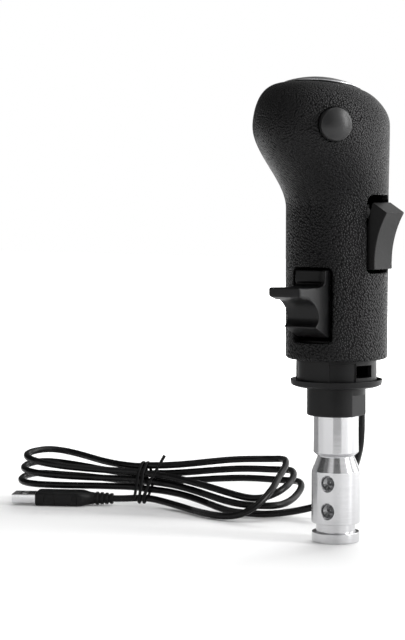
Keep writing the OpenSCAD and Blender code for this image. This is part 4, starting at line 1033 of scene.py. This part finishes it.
plate_edge = [(0.5, 1.07), (17.0, 1.07), (17.15, 1.12), (17.2, 1.25), (17.18, 1.38)]
plate_profile = np.vstack([plate_edge, dome(17.2, 3.6, 5.05, 17.1, 1, 16)])
cap_plate = ring_piece("cap_disc", cap_place + spun(plate_profile, full_turn) @ cap_axes)
cap_finish = plastic("satin_aluminium", (0.6, 0.6, 0.61), (0.68, 0.68, 0.69), 0.3, 0.04, 2400, 0.004,
                     metal=1)
dress(even_normals(cap_plate), cap_finish, "cap_metal", "cap_plate")

# Range lever
# A black moulded finger lever in the slot at the front. It has a tab to lift with a fingertip, two
# scoops under it, a sunk plate beside a cheek above it, and a hub on a pin behind.
lever_place = (0, -15, 108)


def soft_outline(parts, soften):
    """A closed outline from parts, each a list of corners and a number of points to spread over it at
    equal steps. Averaging then rounds it."""
    line = np.vstack([spaced(np.array(corners, float), count, False) for corners, count in parts])
    step = np.linalg.norm(np.roll(line, -1, axis=0) - line, axis=1).mean()
    return averaged(line, True, step, soften)


def drawn_in(outline, by):
    """A closed outline moved inwards along its own normals, by small steps with a little averaging after
    each, so that its corners never cross over."""
    x, y = outline.T
    way = np.sign(np.sum(x * np.roll(y, -1) - y * np.roll(x, -1)))
    steps = math.ceil(by / 0.06)
    for _ in range(steps):
        ahead = unit(np.roll(outline, -1, axis=0) - np.roll(outline, 1, axis=0))
        outline = outline + by / steps * way * np.stack([-ahead[:, 1], ahead[:, 0]], 1)
        outline = 0.5 * outline + 0.25 * (np.roll(outline, 1, axis=0) + np.roll(outline, -1, axis=0))
    return outline


def both_sides(half_x, left, right):
    """A bar from the outlines of its left and of its right half, each counted from the middle."""
    return bar_points(np.concatenate([left[:0:-1], right]), np.r_[-half_x[:0:-1], half_x])


lever_half, side_edge, cap_in = 8.2, 0.4, 0.1
tab_middle, tab_half = 6.85, 2.1
tab_root, tab_thins, tab_front, tab_backs = -18.5, 5, -23.6, 6
big_scoop = arc((-23.7, -7.1), 10.4, 95, 12, 14)
small_scoop = arc((-17.43, -4.94), 3.9, -10, -70, 8)
below = [(-14.7, 8.3), (-29.6, 8.9), (-29.6, 4.8), *big_scoop, *small_scoop, (-16.3, -9.1), (-5, -14.2),
         (-4, -14.2), (-4, 15.6)]
cheek = [(-4, 15.6), (-8.2, 15.6), (-8.45, 11.2), (-8.9, 10), (-9.9, 9.15), (-11.5, 8.65), (-14.7, 8.3)]
sunk_plate = [(-4, 15.6), (-7.0, 15.6), (-7.3, 10.4), (-6.4, 9.9), (-6.6, 9.4), (-8, 8.75), (-14.7, 8.2)]
cheek_line = soft_outline([(cheek, 60), (below, 240)], 0.4)
plate_line = soft_outline([(sunk_plate, 60), (below, 240)], 0.4)
to_side = np.sin(np.radians(np.arange(0, 91, 10)))
half_x = np.r_[0, 3.5, 6.0, 6.1, 6.2, 6.3, 6.4, 6.5, 6.6 + 1.6 * to_side, lever_half]


def rounded_side(line, x, half):
    """Outlines from a bar's middle to its side, with a small round edge there."""
    small = round_edge(x - half + side_edge, side_edge)
    small[-1] += cap_in
    return np.stack([drawn_in(line, by) for by in small])


def lever_side(line, tab_edge):
    """Outlines from the lever's middle to one side. The edge there is small. The tab has its own, larger
    edge: its two faces draw together and its tip draws back."""
    large = round_edge(half_x - lever_half + tab_edge, tab_edge)[:, None]
    lines = rounded_side(line, half_x, lever_half)
    deep = lines[..., 0]
    lines[..., 1] += smooth((tab_root - deep) / tab_thins) * (tab_middle - lines[..., 1]) * large / tab_half
    lines[..., 0] += smooth((tab_front - deep) / tab_backs) * large
    return lines


def hub(width, r):
    """A hub with a bore for its pin, turned about the first axis."""
    half = width / 2
    profile = eased([(1.55, 0), (1.55, half), (r, half), (r, -half), (1.55, -half), (1.55, 0)], 0.3)[:-1]
    return spun(profile, coarse_turn)[..., [2, 0, 1]]


def block(half, y0, y1, z0, z1):
    """A bar to both sides of the middle with a rounded rectangle for its section."""
    angle = np.linspace(0, 2 * np.pi, 40, endpoint=False)
    out = ray_reach(angle, (y1 - y0) / 2, (z1 - z0) / 2, 0.3)
    ring = np.array([y0 + y1, z0 + z1]) / 2 + out[:, None] * compass(angle)
    return bar_points(np.stack([ring, ring]), (-half, half))


to_cheek = smooth((half_x - 6.0) / 0.5)[:, None, None]
far_side = lever_side(plate_line, 1.7)
near_side = to_cheek * lever_side(cheek_line, 1.0) + (1 - to_cheek) * lever_side(plate_line, 1.0)
lever_grids = [both_sides(half_x, far_side, near_side), hub(11.6, 3.8), block(5.8, -4.5, -1.8, -3.8, 3.8),
               block(3, 2, 15.6, -2.1, 2.1)]
lever = ring_piece("finger_lever", *(lever_place + grid for grid in lever_grids), closed={1}, sharp=60)
lever_finish = plastic("black_lever_satin", *satin_black, 0.36, 0.05, 2400, 0.01)
dress(lever, lever_finish, "black_plastic", "range_lever", body="lever")

# Rocker
# A dark grey moulded paddle in the slot at the left side, with a hollow face for the thumb. It rocks
# on a pin and rests with its top out.
rocker_tilt = math.radians(13.5)
rocker_out = (math.cos(rocker_tilt), 0, -math.sin(rocker_tilt))
rocker_up = (math.sin(rocker_tilt), 0, math.cos(rocker_tilt))
rocker_axes = [(0, 1, 0), rocker_out, rocker_up]
rocker_place = (14.5, 0, 139.4)
rocker_half, face_half, face_hollow = 8.0, 12.9, 2
face_r = (face_half**2 + face_hollow**2) / (2 * face_hollow)
face_a = math.degrees(math.asin(face_half / face_r))
face = arc((10.85 + face_r, 0), face_r, 180 + face_a, 180 - face_a, 20)
top_back = (4.6, 15.7)
foot_back = (4.6, -15.2)
rocker_line = soft_outline([([top_back, foot_back], 60), ([foot_back, *face, top_back], 180)], 0.42)
to_side = np.sin(np.radians(np.arange(0, 91, 15)))
half_x = np.r_[0, 3, 6, 7.2, 7.6 + 0.4 * to_side, rocker_half]
half_lines = rounded_side(rocker_line, half_x, rocker_half)
rocker_grids = [both_sides(half_x, half_lines, half_lines), hub(13.6, 3.6), block(6.8, 1.8, 5.1, -3, 3)]
rocker_grids = (rocker_place + grid @ rocker_axes for grid in rocker_grids)
rocker = ring_piece("thumb_paddle", *rocker_grids, closed={1}, sharp=60)
grey_finish = plastic("grey_plastic_satin", (0.008, 0.008, 0.0082), (0.011, 0.011, 0.0113), 0.42, 0.04,
                      3000, 0.01, specular=0.12)
dress(rocker, grey_finish, "grey_plastic", "rocker", body="rocker")

# Thumb button
# A dark grey moulded push button with a low dome, kept in the head by a flange. A spring behind it
# brings it back.
button_axes = [button_side, up_axis, (0.809017, -0.587785, 0)]
stem = [(0.5, -9.6), (8.4, -9.6), (8.6, -9.4), (8.6, -8.6), (8.4, -8.4), (7.1, -8.4), (7.1, -4), (7.1, 1.0)]
button_profile = np.vstack([stem, arc((6.4, 1.3), 0.7, 0, 76, 7), dome(6.4, 1.5, 3.5, 6.3, 1.5, 12)])
button = ring_piece("push_button", button_place + spun(button_profile, full_turn) @ button_axes)
button_finish = plastic("button_plastic", (0.014, 0.014, 0.0143), (0.018, 0.018, 0.0184), 0.34, 0.04, 3000,
                        0.01, specular=0.35)
dress(even_normals(button), button_finish, "grey_plastic", "thumb_button", body="button")
